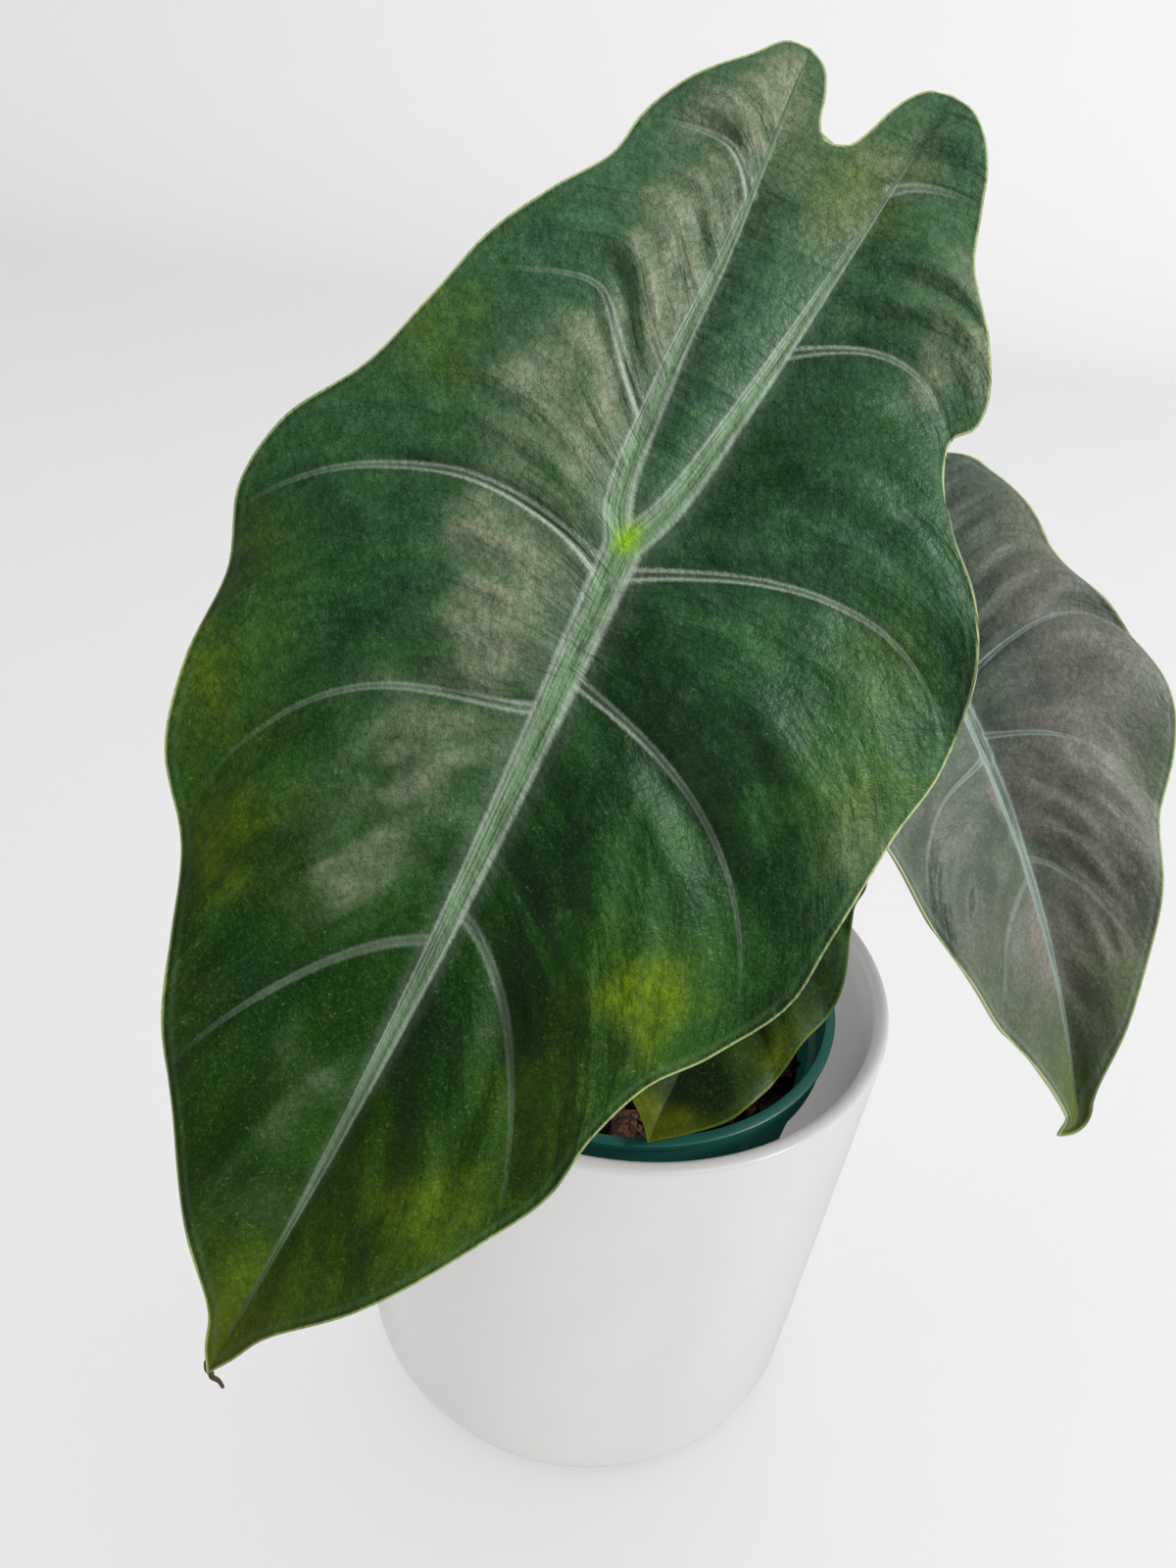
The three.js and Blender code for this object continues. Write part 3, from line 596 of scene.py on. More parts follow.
# %% Side leaf
side_leaf = dict(
    name="side", at=(70.8, 54.5, 183.4), heading=22, tilt=50, twist=14.6, vein_scale=0.7, lobe_scale=0.54,
    tip=(0, -126), sinus=(0, 45), midrib_bow=4, arch=500, lobe_arch=400, fold=0.36, crest=90, quilt=2.4,
    wave=1.2, thickness=0.9, edge_thickness=0.7, rib_height=2.4, ridge=1.6, sinus_station=0.81,
    rows_mm=0.9, columns=54, rib_width=2.1, vein_width=0.9, lobe_shows=0.15,
    hook=dict(start=-117, radius=5, angle=75),
    left=dict(
        lobe_rib=[(0, 0), (-3, 6), (-6, 22), (-10, 55)],
        lobe_edge=[(-1.4, 46), (-4, 51)],
        margin=[
            (-10, 55), (-24, 48), (-31, 36), (-35, 20), (-41, 6), (-45, -10), (-42.6, -26), (-38.6, -41),
            (-34, -56), (-30.5, -68.5), (-24.5, -82.5), (-15, -99), (-6, -115), (-3.6, -120.5),
        ],
    ),
    right=dict(
        lobe_rib=[(0, 0), (3, 7), (7, 24), (16, 58)],
        lobe_edge=[(1.8, 46.5), (6, 53)],
        margin=[
            (16, 58), (25, 55.5), (32, 47), (36, 31), (38.4, 15), (44.4, 2), (50.4, -18), (45.8, -38),
            (37.2, -53), (31.2, -68), (24.8, -83.5), (15, -99), (5.2, -113), (2.6, -120.5),
        ],
    ),
)
print("side leaf, drip tip", -side_leaf["tip"][1], "mm below the stalk")

# %% [markdown]
# The low leaf lies almost flat over the rim of the nursery pot, and only its right half shows.

# %% Low leaf
low_leaf = dict(
    name="low", at=(26.1, 6.1, 139.3), heading=-14, tilt=12, twist=0, vein_scale=0.36, lobe_scale=0.35,
    tip=(-1, -65), sinus=(0, 29), midrib_bow=1, arch=250, lobe_arch=250, fold=0.2, crest=16, quilt=1.2,
    wave=0.8, thickness=0.8, edge_thickness=0.65, rib_height=1.4, ridge=0.8, sinus_station=0.8,
    rows_mm=0.8, columns=30, rib_width=1.0, vein_width=0.45, lobe_shows=0.6,
    left=dict(
        lobe_rib=[(0, 0), (-2, 5), (-4, 18), (-8, 36)],
        lobe_edge=[(-1.2, 30), (-4, 34)],
        margin=[
            (-8, 36), (-18, 30), (-22.5, 18), (-23, 4), (-25.5, -9), (-25, -22), (-21.5, -36), (-15, -50),
            (-7.5, -58), (-3.6, -61.5),
        ],
    ),
    right=dict(
        lobe_rib=[(0, 0), (2, 5), (5, 18), (11, 37)],
        lobe_edge=[(1.6, 30), (5.5, 34.5)],
        margin=[
            (11, 37), (21, 32), (26.5, 18), (25.5, 5), (27.5, -9), (27.8, -20), (24, -32), (18.8, -47),
            (14.3, -55.5), (7, -60.8),
        ],
    ),
)
print("low leaf, drip tip", -low_leaf["tip"][1], "mm below the stalk")

# %% [markdown]
# ## Rows of a half-blade
#
# A station runs from -1 at the drip tip through 0 at the stalk to 1 at the top of a lobe. Both halves
# share their stations, so they meet along the midrib vertex by vertex. share says how far a row lies
# from one side vein to the next.

# %% One half of a blade
def half_of(leaf, side):
    half = leaf[side]
    top = half["margin"][0][1]

    def scale(y):
        return y * (leaf["vein_scale"] if y < 0 else leaf["lobe_scale"])

    still = dict(leave=(0, 0), arrive=(0, 0), shows=0)
    veins = [dict(root=leaf["tip"][1], meets=leaf["tip"][1], **still)]
    for vein in side_veins[side]:
        handles = {key: [v * leaf["vein_scale"] for v in vein[key]] for key in ("leave", "arrive")}
        veins.append(dict(vein, root=scale(vein["root"]), meets=scale(vein["meets"]), **handles))
    veins.append(dict(root=top, meets=top, **still))
    return dict(
        side=side, top=top, veins=veins, margin=smooth([*half["margin"], leaf["tip"]]),
        lobe_rib=smooth(half["lobe_rib"]),
        lobe_edge=smooth([leaf["sinus"], *half["lobe_edge"], half["margin"][0]]),
    )


def spine(leaf, half, y):
    """Points of the midrib below the stalk and of the lobe rib above it"""
    y = np.asarray(y, float)
    down = y / leaf["tip"][1]
    midrib = leaf["midrib_bow"] * np.sin(np.pi * down) + leaf["tip"][0] * down ** 2
    return np.stack([np.where(y > 0, x_at(half["lobe_rib"], y), midrib), y], -1)


def stations_of(leaf, halves):
    marks = {-1.0, 0.0, 1.0, leaf["sinus_station"]}
    for half in halves:
        for vein in half["veins"]:
            marks.add(vein["root"] / (-leaf["tip"][1] if vein["root"] < 0 else half["top"]))
    marks = sorted(marks)
    dense = []
    for a, b in zip(marks, marks[1:]):
        span = (b - a) * (-leaf["tip"][1] if b <= 0 else halves[0]["top"])
        dense.extend(np.linspace(a, b, max(1, math.ceil(span / leaf["rows_mm"])), endpoint=False))
    return np.array(dense + [1.0])


# %% [markdown]
# A row starts at the midrib and ends at the margin. Where it starts, where it ends and how its handles
# pull are mixed from the two side veins beside it, so the rows fan out as the veins do.

# %% Rows and their curves
def rows_of(leaf, half, stations):
    y = stations * np.where(stations < 0, -leaf["tip"][1], half["top"])
    table = {key: np.array([vein[key] for vein in half["veins"]], float) for key in half["veins"][0]}
    upper = np.clip(np.searchsorted(table["root"], y - 1e-6), 1, len(table["root"]) - 1)
    low, high = table["root"][upper - 1], table["root"][upper]
    share = np.clip((y - low) / (high - low), 0, 1)

    def mixed(key):
        values = table[key].reshape(len(table["root"]), -1)
        return values[upper - 1] + (values[upper] - values[upper - 1]) * share[:, None]

    meets = mixed("meets")[:, 0]
    start, end = spine(leaf, half, y), np.stack([x_at(half["margin"], meets), meets], -1)
    corners = [start, start + mixed("leave"), end + mixed("arrive"), end]
    return dict(y=y, share=share, order=upper - 1 + share, corners=corners)


# %% [markdown]
# ## Relief
#
# The blade arches along its length. Each half rises from the midrib and falls again to the margin, the
# skin swells between the side veins, and the margin waves. On top of that come pleats: shallow folds
# that run with the rows, as the finest veins do, and that die away at the ribs.

# %% Heights
def arch_height(leaf, y):
    return -(y ** 2) / (2 * np.where(y < 0, leaf["arch"], leaf["lobe_arch"]))


def half_height(leaf, rows, points, s):
    start, end = rows["corners"][0], rows["corners"][3]
    reach = np.linalg.norm(points - start[:, None], axis=-1)
    share = rows["share"][:, None]
    swell = 1 - (2 * share - 1) ** 2
    full = 0.35 * abs(leaf["tip"][1])  # a row shorter than this swells and waves less
    size = np.minimum(1, np.linalg.norm(end - start, axis=-1) / full)[:, None]
    return (arch_height(leaf, points[..., 1]) + leaf["fold"] * reach * (1 - reach / (2 * leaf["crest"]))
            + leaf["quilt"] * size * swell * np.sin(0.9 * np.pi * s)
            - leaf["wave"] * size * s ** 3 * np.cos(math.tau * share))


def pleats(leaf, flow):
    """Height of the pleats at places given along and across the rows in millimetres"""
    scale = 1 / leaf["vein_scale"] ** 0.5
    total = np.zeros(flow[..., 0].size)
    # Length and width of a fold, and its height, all in millimetres
    for length, width, height in ((40, 14, 2.2), (22, 7, 1.8), (13, 4.5, 1.0)):
        total += height * np.array([
            noise.noise(Vector((u / length, v / width, length)) * scale) for u, v in flow.reshape(-1, 2)
        ])
    return total.reshape(flow.shape[:-1]) / scale


# %% [markdown]
# A half-blade has two grids. The outer one runs from the midrib and the lobe rib to the margin. The
# inner one fills the lobe from its rib to the seam with the other half and the notch above it.

# %% Grids of one half
PITCH = 40  # millimetres of the pattern from one side vein to the next
RIGHT_START, INNER_START = 500, 900  # millimetres on in the pattern, so that no two parts look alike
INNER_COLUMNS = 12
CROWDING = 1.15  # columns stand closer near the midrib


def outer_grid(leaf, half, rows):
    s = np.linspace(0, 1, leaf["columns"])[None, :] ** CROWDING
    corners = [corner[:, None] for corner in rows["corners"]]
    points = handled_curve(corners, s[..., None])
    steps = np.linalg.norm(np.diff(points, axis=1), axis=-1)
    along = np.concatenate([np.zeros((len(points), 1)), np.cumsum(steps, axis=1)], axis=1)
    across = np.broadcast_to(rows["order"][:, None] * PITCH * leaf["vein_scale"], along.shape)
    # A row that bends past the margin is held just inside it
    side = 1 if half["side"] == "right" else -1
    room = side * x_at(half["margin"], points[..., 1]) - np.minimum(2, 0.04 * along[:, -1:]) * (1 - s)
    points[..., 0] = side * np.minimum(side * points[..., 0], room)
    flow = np.stack([along, across + (RIGHT_START if side > 0 else 0)], -1)
    height = half_height(leaf, rows, points, s)
    # Pleats die away at both ends of a row, and a row under 5 mm has none
    calm = np.sin(np.pi * s ** 0.75) ** 1.2 * np.clip((along[:, -1:] - 5) / 20, 0, 1)
    height = height + pleats(leaf, flow) * calm
    return np.concatenate([points, height[..., None]], -1), flow


def inner_grid(leaf, half, stations, outer):
    first = int(np.argmin(abs(stations)))
    rib = outer[first:, 0]
    up = stations[first:]
    sinus = np.array(leaf["sinus"])
    on_seam = (up <= leaf["sinus_station"] + 1e-9)[:, None]
    seam = sinus * (up / leaf["sinus_station"])[:, None]
    past = (up - leaf["sinus_station"]) / (1 - leaf["sinus_station"])
    edge_y = sinus[1] + (half["top"] - sinus[1]) * np.clip(past, 0, 1)
    end = np.where(on_seam, seam, np.stack([x_at(half["lobe_edge"], edge_y), edge_y], -1))
    rise = leaf["ridge"] * np.sin(np.pi * np.clip(up / leaf["sinus_station"], 0, 1))
    end_height = arch_height(leaf, end[:, 1]) + np.where(on_seam[:, 0], rise, 0)
    s = np.linspace(0, 1, INNER_COLUMNS)[None, :]
    points = rib[:, None, :2] + (end - rib[:, :2])[:, None] * s[..., None]
    height = rib[:, None, 2] + (end_height - rib[:, 2])[:, None] * np.sin(np.pi / 2 * s)
    flow = np.stack([np.linalg.norm(points - rib[:, None, :2], axis=-1), points[..., 1] + INNER_START], -1)
    return np.concatenate([points, height[..., None]], -1), flow


# %% [markdown]
# ## From grids to one sheet
#
# Blender's grid operator makes each half, and every vertex is then moved to its place. The halves are
# merged where they meet. The UV map holds where a point lies along and across the rows, so a pattern
# on it flows from the midrib to the margin between the veins.

# %% Sheet from grids
def lay_grid(bm, uv_layer, places, flow):
    rows, columns = places.shape[:2]
    made = bmesh.ops.create_grid(bm, x_segments=columns - 1, y_segments=rows - 1, size=0.5)["verts"]
    spot = {v: (round((v.co.y + 0.5) * (rows - 1)), round((v.co.x + 0.5) * (columns - 1))) for v in made}
    for face in {face for vertex in made for face in vertex.link_faces}:
        for loop in face.loops:
            loop[uv_layer].uv = flow[spot[loop.vert]] * MM
    for vertex, index in spot.items():
        vertex.co = places[index]


def sheet_of(leaf, halves, stations):
    bm = bmesh.new()
    uv_layer = bm.loops.layers.uv.new("flow")
    for half in halves:
        places, flow = outer_grid(leaf, half, rows_of(leaf, half, stations))
        lay_grid(bm, uv_layer, places, flow)
        lay_grid(bm, uv_layer, *inner_grid(leaf, half, stations, places))
    bmesh.ops.remove_doubles(bm, verts=bm.verts, dist=0.01)  # the leaf is still in millimetres
    bmesh.ops.recalc_face_normals(bm, faces=bm.faces)
    if sum(face.normal.z for face in bm.faces) < 0:
        bmesh.ops.reverse_faces(bm, faces=bm.faces)
    return mesh_from(bm, "blade_" + leaf["name"])


# %% [markdown]
# ## What each point of a blade knows
#
# The colours need to know how far a point is from the ribs, the side veins and the margin. rib and
# vein are distances in half-widths, so 1 is always the edge of a vein, however thick it is there. edge
# is plain millimetres. These go on the mesh as attributes, which a material reads by name.

# %% Distances to the veins
def nearest(points, paths):
    """Distance to the nearest path in half-widths, with the half-width and the strength there"""
    batch = 2000  # points at a time, to save memory
    starts, widths, strengths = (np.concatenate([part[:-1] for part in column]) for column in zip(*paths))
    steps = np.concatenate([np.diff(path, axis=0) for path, _, _ in paths])
    squares = np.maximum((steps ** 2).sum(1), 1e-12)
    found = []
    for group in np.array_split(points, max(1, len(points) // batch)):
        off = group[:, None] - starts
        along = np.clip((off * steps).sum(-1) / squares, 0, 1)
        ratio = np.linalg.norm(off - along[..., None] * steps, axis=-1) / widths
        best = ratio.argmin(1)
        found.append([ratio[np.arange(len(group)), best], widths[best], strengths[best]])
    return np.concatenate(found, axis=1)


# %% [markdown]
# A rib is strongest at the stalk and thins out until it is lost before the tip. A side vein does the
# same on its way to the margin, so every path carries its half-width and how plainly it shows.

# %% Paths of the veins
def vein_paths(leaf, halves):
    ribs, veins, margins = [], [], []
    t = np.linspace(0, 1, 100)
    finest = 0.12  # half-width in millimetres of a rib where it ends
    for half in halves:
        # The midrib, then the lobe rib: where it ends, its share of the width, and how fast it thins
        for end, share, bend in ((leaf["tip"][1] * 0.95, 1.0, 1.05), (half["top"] * 0.96, 0.78, 1.2)):
            width = leaf["rib_width"] * share * (1 - t) ** bend + finest
            ribs.append((spine(leaf, half, end * t), width, 1 - 0.9 * np.clip(2.6 * t - 1.45, 0, 1)))
        for vein in half["veins"][1:-1]:
            root = spine(leaf, half, vein["root"])
            end = np.array([x_at(half["margin"], vein["meets"]), vein["meets"]])
            corners = [root, root + vein["leave"], end + vein["arrive"], end]
            # A vein that starts within 50 mm of the stalk widens where it leaves the rib
            flare = 0.7 * max(0, 1 - abs(vein["root"]) / 50) * np.exp(-t / 0.05)
            width = leaf["vein_width"] * (1 - 0.72 * t ** 0.8 + flare)
            shows = vein["shows"] * (leaf["lobe_shows"] if vein["root"] > 0 else 1)
            veins.append((handled_curve(corners, 0.95 * t[:, None]), width, shows * (1 - t ** 1.5)))
        for path in (half["margin"][::8], half["lobe_edge"][::8]):  # every eighth place is enough
            margins.append((path, np.ones(len(path)), np.ones(len(path))))
    return ribs, veins, margins


# %% [markdown]
# Thickness is one more thing that varies: the margin is thin, the skin is a little thicker, and the
# ribs stand out below the blade. Solidify takes a weight for each vertex, so one modifier makes the
# skin and the ribs under it in one piece.

# %% Humps, spots and places
def hump(ratio, reach):
    return 0.5 + 0.5 * np.cos(np.pi * np.clip(ratio / reach, 0, 1))


def spots_at(points, spots):
    """Sum of soft round spots, each given by its x, y, radius and strength"""
    total = np.zeros(len(points))
    for x, y, radius, strength in spots:
        total += strength * np.exp(-((points - (x, y)) ** 2).sum(1) / (2 * radius ** 2))
    return np.clip(total, 0, 1)


def rows_from(items, field):
    """A vector of each item, as the rows of an array"""
    flat = np.empty(len(items) * 3)
    items.foreach_get(field, flat)
    return flat.reshape(-1, 3)


def hook_tip(places, start, radius, angle):
    """Bends the tip beyond y = start towards -x, round a circle of that radius"""
    past = np.maximum(0, start - places[:, 1])
    turn = np.minimum(past / radius, math.radians(angle))
    rest = past - turn * radius
    out = radius + places[:, 0]
    bent = past > 0
    places[bent, 0] = (out * np.cos(turn) - rest * np.sin(turn) - radius)[bent]
    places[bent, 1] = (start - out * np.sin(turn) - rest * np.cos(turn))[bent]


# %% Thickness and relief of the veins
def depth_at(leaf, rib, rib_size, vein, vein_size, vein_shows, edge):
    """Thickness of the blade in millimetres, with the ribs and veins that stand out below it"""
    body = leaf["edge_thickness"] + (leaf["thickness"] - leaf["edge_thickness"]) * np.clip(edge / 12, 0, 1)
    under = leaf["rib_height"] * rib_size / leaf["rib_width"] * hump(rib, 1.5)
    small = 0.5 * leaf["rib_height"] * vein_size / leaf["vein_width"] * np.minimum(1, 2 * vein_shows)
    return body + np.maximum(under, small * hump(vein, 1.7)) * np.clip(edge / 4, 0, 1)


def rise_at(rib, rib_size, vein, vein_size, vein_shows):
    """How far the ribs stand out above the blade, and the shores of its sunken veins"""
    shores = hump(abs(vein - 1.3), 0.9) - 1.2 * hump(vein, 0.9)
    return 0.2 * rib_size * hump(rib, 1.25) + 0.3 * vein_size * vein_shows * shores * (1 - hump(rib, 2))


# %% [markdown]
# The distances are measured in the leaf's own plane, while its units are still millimetres. The ribs
# rise only after that, and the tip of the side leaf is hooked last.

# %% Sheet that knows its veins
def blade_mesh(leaf):
    halves = [half_of(leaf, "left"), half_of(leaf, "right")]
    mesh = sheet_of(leaf, halves, stations_of(leaf, halves))
    places = rows_from(mesh.vertices, "co")
    points = places[:, :2].copy()
    ribs, veins, margins = vein_paths(leaf, halves)
    rib, rib_size, rib_shows = nearest(points, ribs)
    vein, vein_size, vein_shows = nearest(points, veins)
    edge = nearest(points, margins)[0]
    depth = depth_at(leaf, rib, rib_size, vein, vein_size, vein_shows, edge)
    places[:, 2] += rise_at(rib, rib_size, vein, vein_size, vein_shows)
    values = dict(rib=rib, vein=vein, edge=edge, rib_shows=rib_shows, vein_shows=vein_shows)
    # This runs from 0 at y = 110, above the lobes of the large leaf, to 1 at y = -180, below its drip tip.
    # It lays a painted reflection, lighter and cooler, on the upper blade, and darker olive towards the tip
    values["toward_tip"] = np.clip((110 - points[:, 1] / leaf["vein_scale"]) / 290, 0, 1)
    # Patches of painted sheen, yellowing and painted shade have ragged outlines, so are read up to 7 mm off
    ragged = points + np.array([noise.noise_vector(Vector((x, y, 5)) / 9)[:2] for x, y in points]) * 7
    for spots in ("painted_sheen", "sun", "shade"):
        values[spots] = spots_at(ragged, leaf.get(spots, ()))
    values["joint"] = spots_at(points, leaf.get("joint", ()))
    mesh.vertices.foreach_set("co", places.ravel())
    mesh.update()
    # Painted highlight: the painted sheen is stronger where the skin leans right, towards the softbox
    faces_softbox = np.clip(rows_from(mesh.vertex_normals, "vector")[:, 0] / 0.25 + 0.2, 0, 1)
    values["painted_sheen"] = np.clip(values["painted_sheen"] * (0.7 + 0.5 * faces_softbox), 0, 1)
    if "hook" in leaf:
        hook_tip(places, **leaf["hook"])
        mesh.vertices.foreach_set("co", places.ravel())
    for name, numbers in values.items():
        layer = mesh.attributes.new(name, "FLOAT", "POINT")
        layer.data.foreach_set("value", np.clip(numbers, 0, 400).astype(np.float32))
    return mesh, depth


# %% [markdown]
# The blade is given its thickness while it is still a sheet, and then it is at its place for good. A
# last touch keeps every point within the box of the solid model.

# %% Blade in its place
def placed_blade(leaf, materials):
    mesh, depth = blade_mesh(leaf)
    mesh.transform(
        Matrix.Translation(Vector(leaf["at"]) * MM) @ turn_about("Z", leaf["heading"])
        @ turn_about("X", leaf["tilt"]) @ turn_about("Z", leaf["twist"]) @ Matrix.Scale(MM, 4)
    )
    sheet = put("sheet", mesh)
    most = float(depth.max())
    weights = sheet.vertex_groups.new(name="depth")
    for i, value in enumerate(depth):
        weights.add([i], float(value) / most, "REPLACE")
    wall = sheet.modifiers.new("thickness", "SOLIDIFY")
    wall.thickness = most * MM
    wall.offset = -1
    wall.vertex_group = "depth"
    wall.material_offset, wall.material_offset_rim = 1, 2
    for material in materials:
        mesh.materials.append(material)
    thick = settled(sheet)
    corners = np.clip(rows_from(thick.vertices, "co"), *solid_box)
    thick.vertices.foreach_set("co", corners.ravel())
    name = "blade_" + leaf["name"]
    made = finished(thick, name + "_veined", materials, name, sharp=50)
    print(name, len(thick.polygons), "faces, thickest", round(most, 1), "mm")
    return made


# %% [markdown]
# ## Where the colours gather
#
# The skin isn't one green. The leaf has a silvery sheen of its own, and a painted highlight on the side
# between two ribs that faces the softbox adds to it. Some patches are yellower where the leaf is ageing,
# and painted shade makes the hollows nearly black. Each is a short list of soft spots in the leaf's own
# plane: x, y, radius and strength.

# %% Patches
# Painted sheen: silver patches that paint a highlight over the leaf's own sheen
large_leaf["painted_sheen"] = [
    (-12, -12, 10, 0.6), (-13, 14, 9, 0.6), (-12, 34, 9, 0.6), (-17, 48, 10, 0.5), (-17, 62, 9, 0.6),
    (-15, 78, 9, 0.6), (-13, 95, 9, 0.5), (-30, -3, 8, 0.35), (-34, 12, 8, 0.3), (-29, 24, 8, 0.4),
    (-14, -42, 10, 0.6), (-17, -64, 8, 0.45), (-21, -79, 6, 0.45), (-27, -70, 7, 0.35),
    (-13, -112, 6, 0.35), (5, 72, 8, 0.45), (9, 90, 8, 0.6), (32, 70, 9, 0.5), (20, 88, 10, 0.5),
    (-17, 88, 11, 0.4), (62, -28, 8, 0.35), (17, 55, 7, 0.35), (37, 62, 6, 0.5), (41, 54, 7, 0.8),
    (-10, -124, 5, 0.3), (-8, -108, 5, 0.3), (-5, -140, 3, 0.3), (14, -90, 6, 0.4), (52, -4, 4, 0.35),
    (27, -54, 5, 0.3), (-21, -12, 5, 0.7), (-14, -25, 6, 0.4), (60, -32, 6, 0.3), (-27, -46, 5, 0.3),
    (-18, -51, 6, 0.3),
]
large_leaf["sun"] = [
    (-40, -80, 8, 0.7), (-58, -54, 8, 0.6), (-48, 19, 6, 0.6), (42, -70, 6, 0.9), (36, -68, 5, 0.5),
    (22, -124, 8, 0.7), (0, -162, 8, 0.4), (-36, -106, 6, 0.3), (58, -22, 7, 0.4), (6, -150, 8, 0.3),
    (-60, -30, 6, 0.3), (9, 82, 7, 0.35), (30, -96, 6, 0.3), (52, 2, 6, 0.3),
]
large_leaf["joint"] = [(0, 1.5, 1.6, 1.0), (0.5, 4.5, 1.1, 0.6)]
# Painted shade: dark spots in the hollows and on slopes turned away from the light
large_leaf["shade"] = [
    (8, -16, 6, 0.7), (16, -33, 8, 0.5), (12, -56, 8, 0.6), (9, -92, 9, 0.9), (16, -112, 7, 0.6),
    (-40, -24, 8, 0.5), (-30, 2, 4, 0.5), (40, -8, 9, 0.25), (33, 38, 8, 0.35), (45, 36, 6, 0.25),
    (-29, -76, 5, 0.7), (-27, -102, 12, 0.9), (-10, -134, 9, 0.6), (18, 28, 7, 0.55), (12, 16, 5, 0.45),
    (52, -44, 7, 0.6), (-8, 70, 3, 0.5), (24, 56, 6, 0.5), (60, 6, 6, 0.5),
]
# Painted sheen of the side leaf, strongest on its right half, which faces the light
side_leaf["painted_sheen"] = [
    (28, -14, 14, 1.0), (27, 14, 12, 0.9), (32, 36, 10, 0.6), (24, -52, 12, 1.0), (12, -80, 10, 0.8),
    (14, -34, 10, 0.9), (40, -16, 8, 0.4), (-22, -36, 8, 0.4), (-19, -60, 8, 0.4), (7, -70, 9, 0.7),
]
side_leaf["sun"] = [
    (0, -112, 8, 0.6), (10, 54, 6, 0.3), (16, -86, 6, 0.4), (34, 30, 8, 0.25), (42, -44, 8, 0.3),
]
# Painted shade on the side leaf
side_leaf["shade"] = [
    (17, -8, 7, 0.6), (36, 6, 6, 0.3), (30, -50, 5, 0.35), (-6, -37, 4, 0.4), (-13, -52, 6, 0.4),
    (12, -60, 4, 0.3), (6, -5, 5, 0.4),
]
low_leaf["sun"] = [(-4, -60, 6, 1.0), (1, -60, 4, 0.7), (19, -36, 4, 0.5), (12, -56, 4, 0.3)]
# Painted shade on the low leaf
low_leaf["shade"] = [(6, -54, 6, 0.8), (4, -48, 8, 0.6), (15, -20, 6, 0.3)]
print(sum(len(large_leaf[key]) for key in ("painted_sheen", "sun", "shade")), "patches on the large leaf")

# %% [markdown]
# ## The upper skin
#
# The leaf is leathery, with a waxy cuticle over it: a dark green that is mottled at several sizes, a
# soft gloss, and a fine grain. Patterns come first. Some fill space and read Object coordinates. Others
# are stretched along the rows and read the UV map, so that they run as the finest veins do.

# %% Patterns of a leaf
def leaf_patterns(tree):
    found = {
        name: add(tree, "ShaderNodeAttribute", out="Fac", attribute_name=name)
        for name in (
            "rib", "vein", "edge", "rib_shows", "vein_shows", "toward_tip", "painted_sheen", "sun", "shade", "joint",
        )
    }
    place = add(tree, "ShaderNodeTexCoord", out="Object")
    # Blotches 15 mm across, mottling of 4 mm, grain of 0.8 mm; the stipple is drawn at 0.4 mm to show
    for name, scale, detail in (
        ("blotch", 65, 3), ("mottle", 250, 4), ("grain", 1250, 2), ("stipple", 2500, 2),
    ):
        found[name] = add(tree, "ShaderNodeTexNoise", {"Vector": place, "Scale": scale, "Detail": detail})
    # The leathery skin is pebbled, each pebble 1.4 mm across
    found["pebble"] = add(tree, "ShaderNodeTexVoronoi", {"Vector": place, "Scale": 700})
    flow = add(tree, "ShaderNodeUVMap", uv_map="flow")
    # Folds 20 by 6 mm, streaks 9 by 1.6 mm, creases 14 by 0.8 mm
    for name, size in (("fold", (50, 165, 1)), ("streak", (110, 620, 1)), ("crease", (70, 1250, 1))):
        drawn = add(tree, "ShaderNodeMapping", {"Vector": flow, "Scale": size})
        found[name] = add(tree, "ShaderNodeTexNoise", {
            "Vector": drawn, "Scale": 1, "Detail": 3, "Distortion": 0.4,
        })
    # Threads run along a rib, this many to its half-width and so 0.6 mm apart at the stalk
    threads_across = 6.0
    running = add(tree, "ShaderNodeMapping", {"Vector": flow, "Scale": (0, 60, 0)})
    along = add(tree, "ShaderNodeSeparateXYZ", {"Vector": running}, "Y")
    across = add(tree, "ShaderNodeMath", {0: found["rib"], 1: threads_across}, operation="MULTIPLY")
    threads = add(tree, "ShaderNodeCombineXYZ", {0: across, 1: along})
    found["thread"] = add(tree, "ShaderNodeTexNoise", {"Vector": threads, "Scale": 1, "Detail": 3})
    return found


# %% [markdown]
# A vein has a soft, downy edge. Its distance is roughened a little by the grain before it is read, so
# the edge of its colour isn't a drawn line. After that a table of masks turns patterns into amounts.
# Each mask names its pattern, and where it starts and is full. A few never fall to nothing.

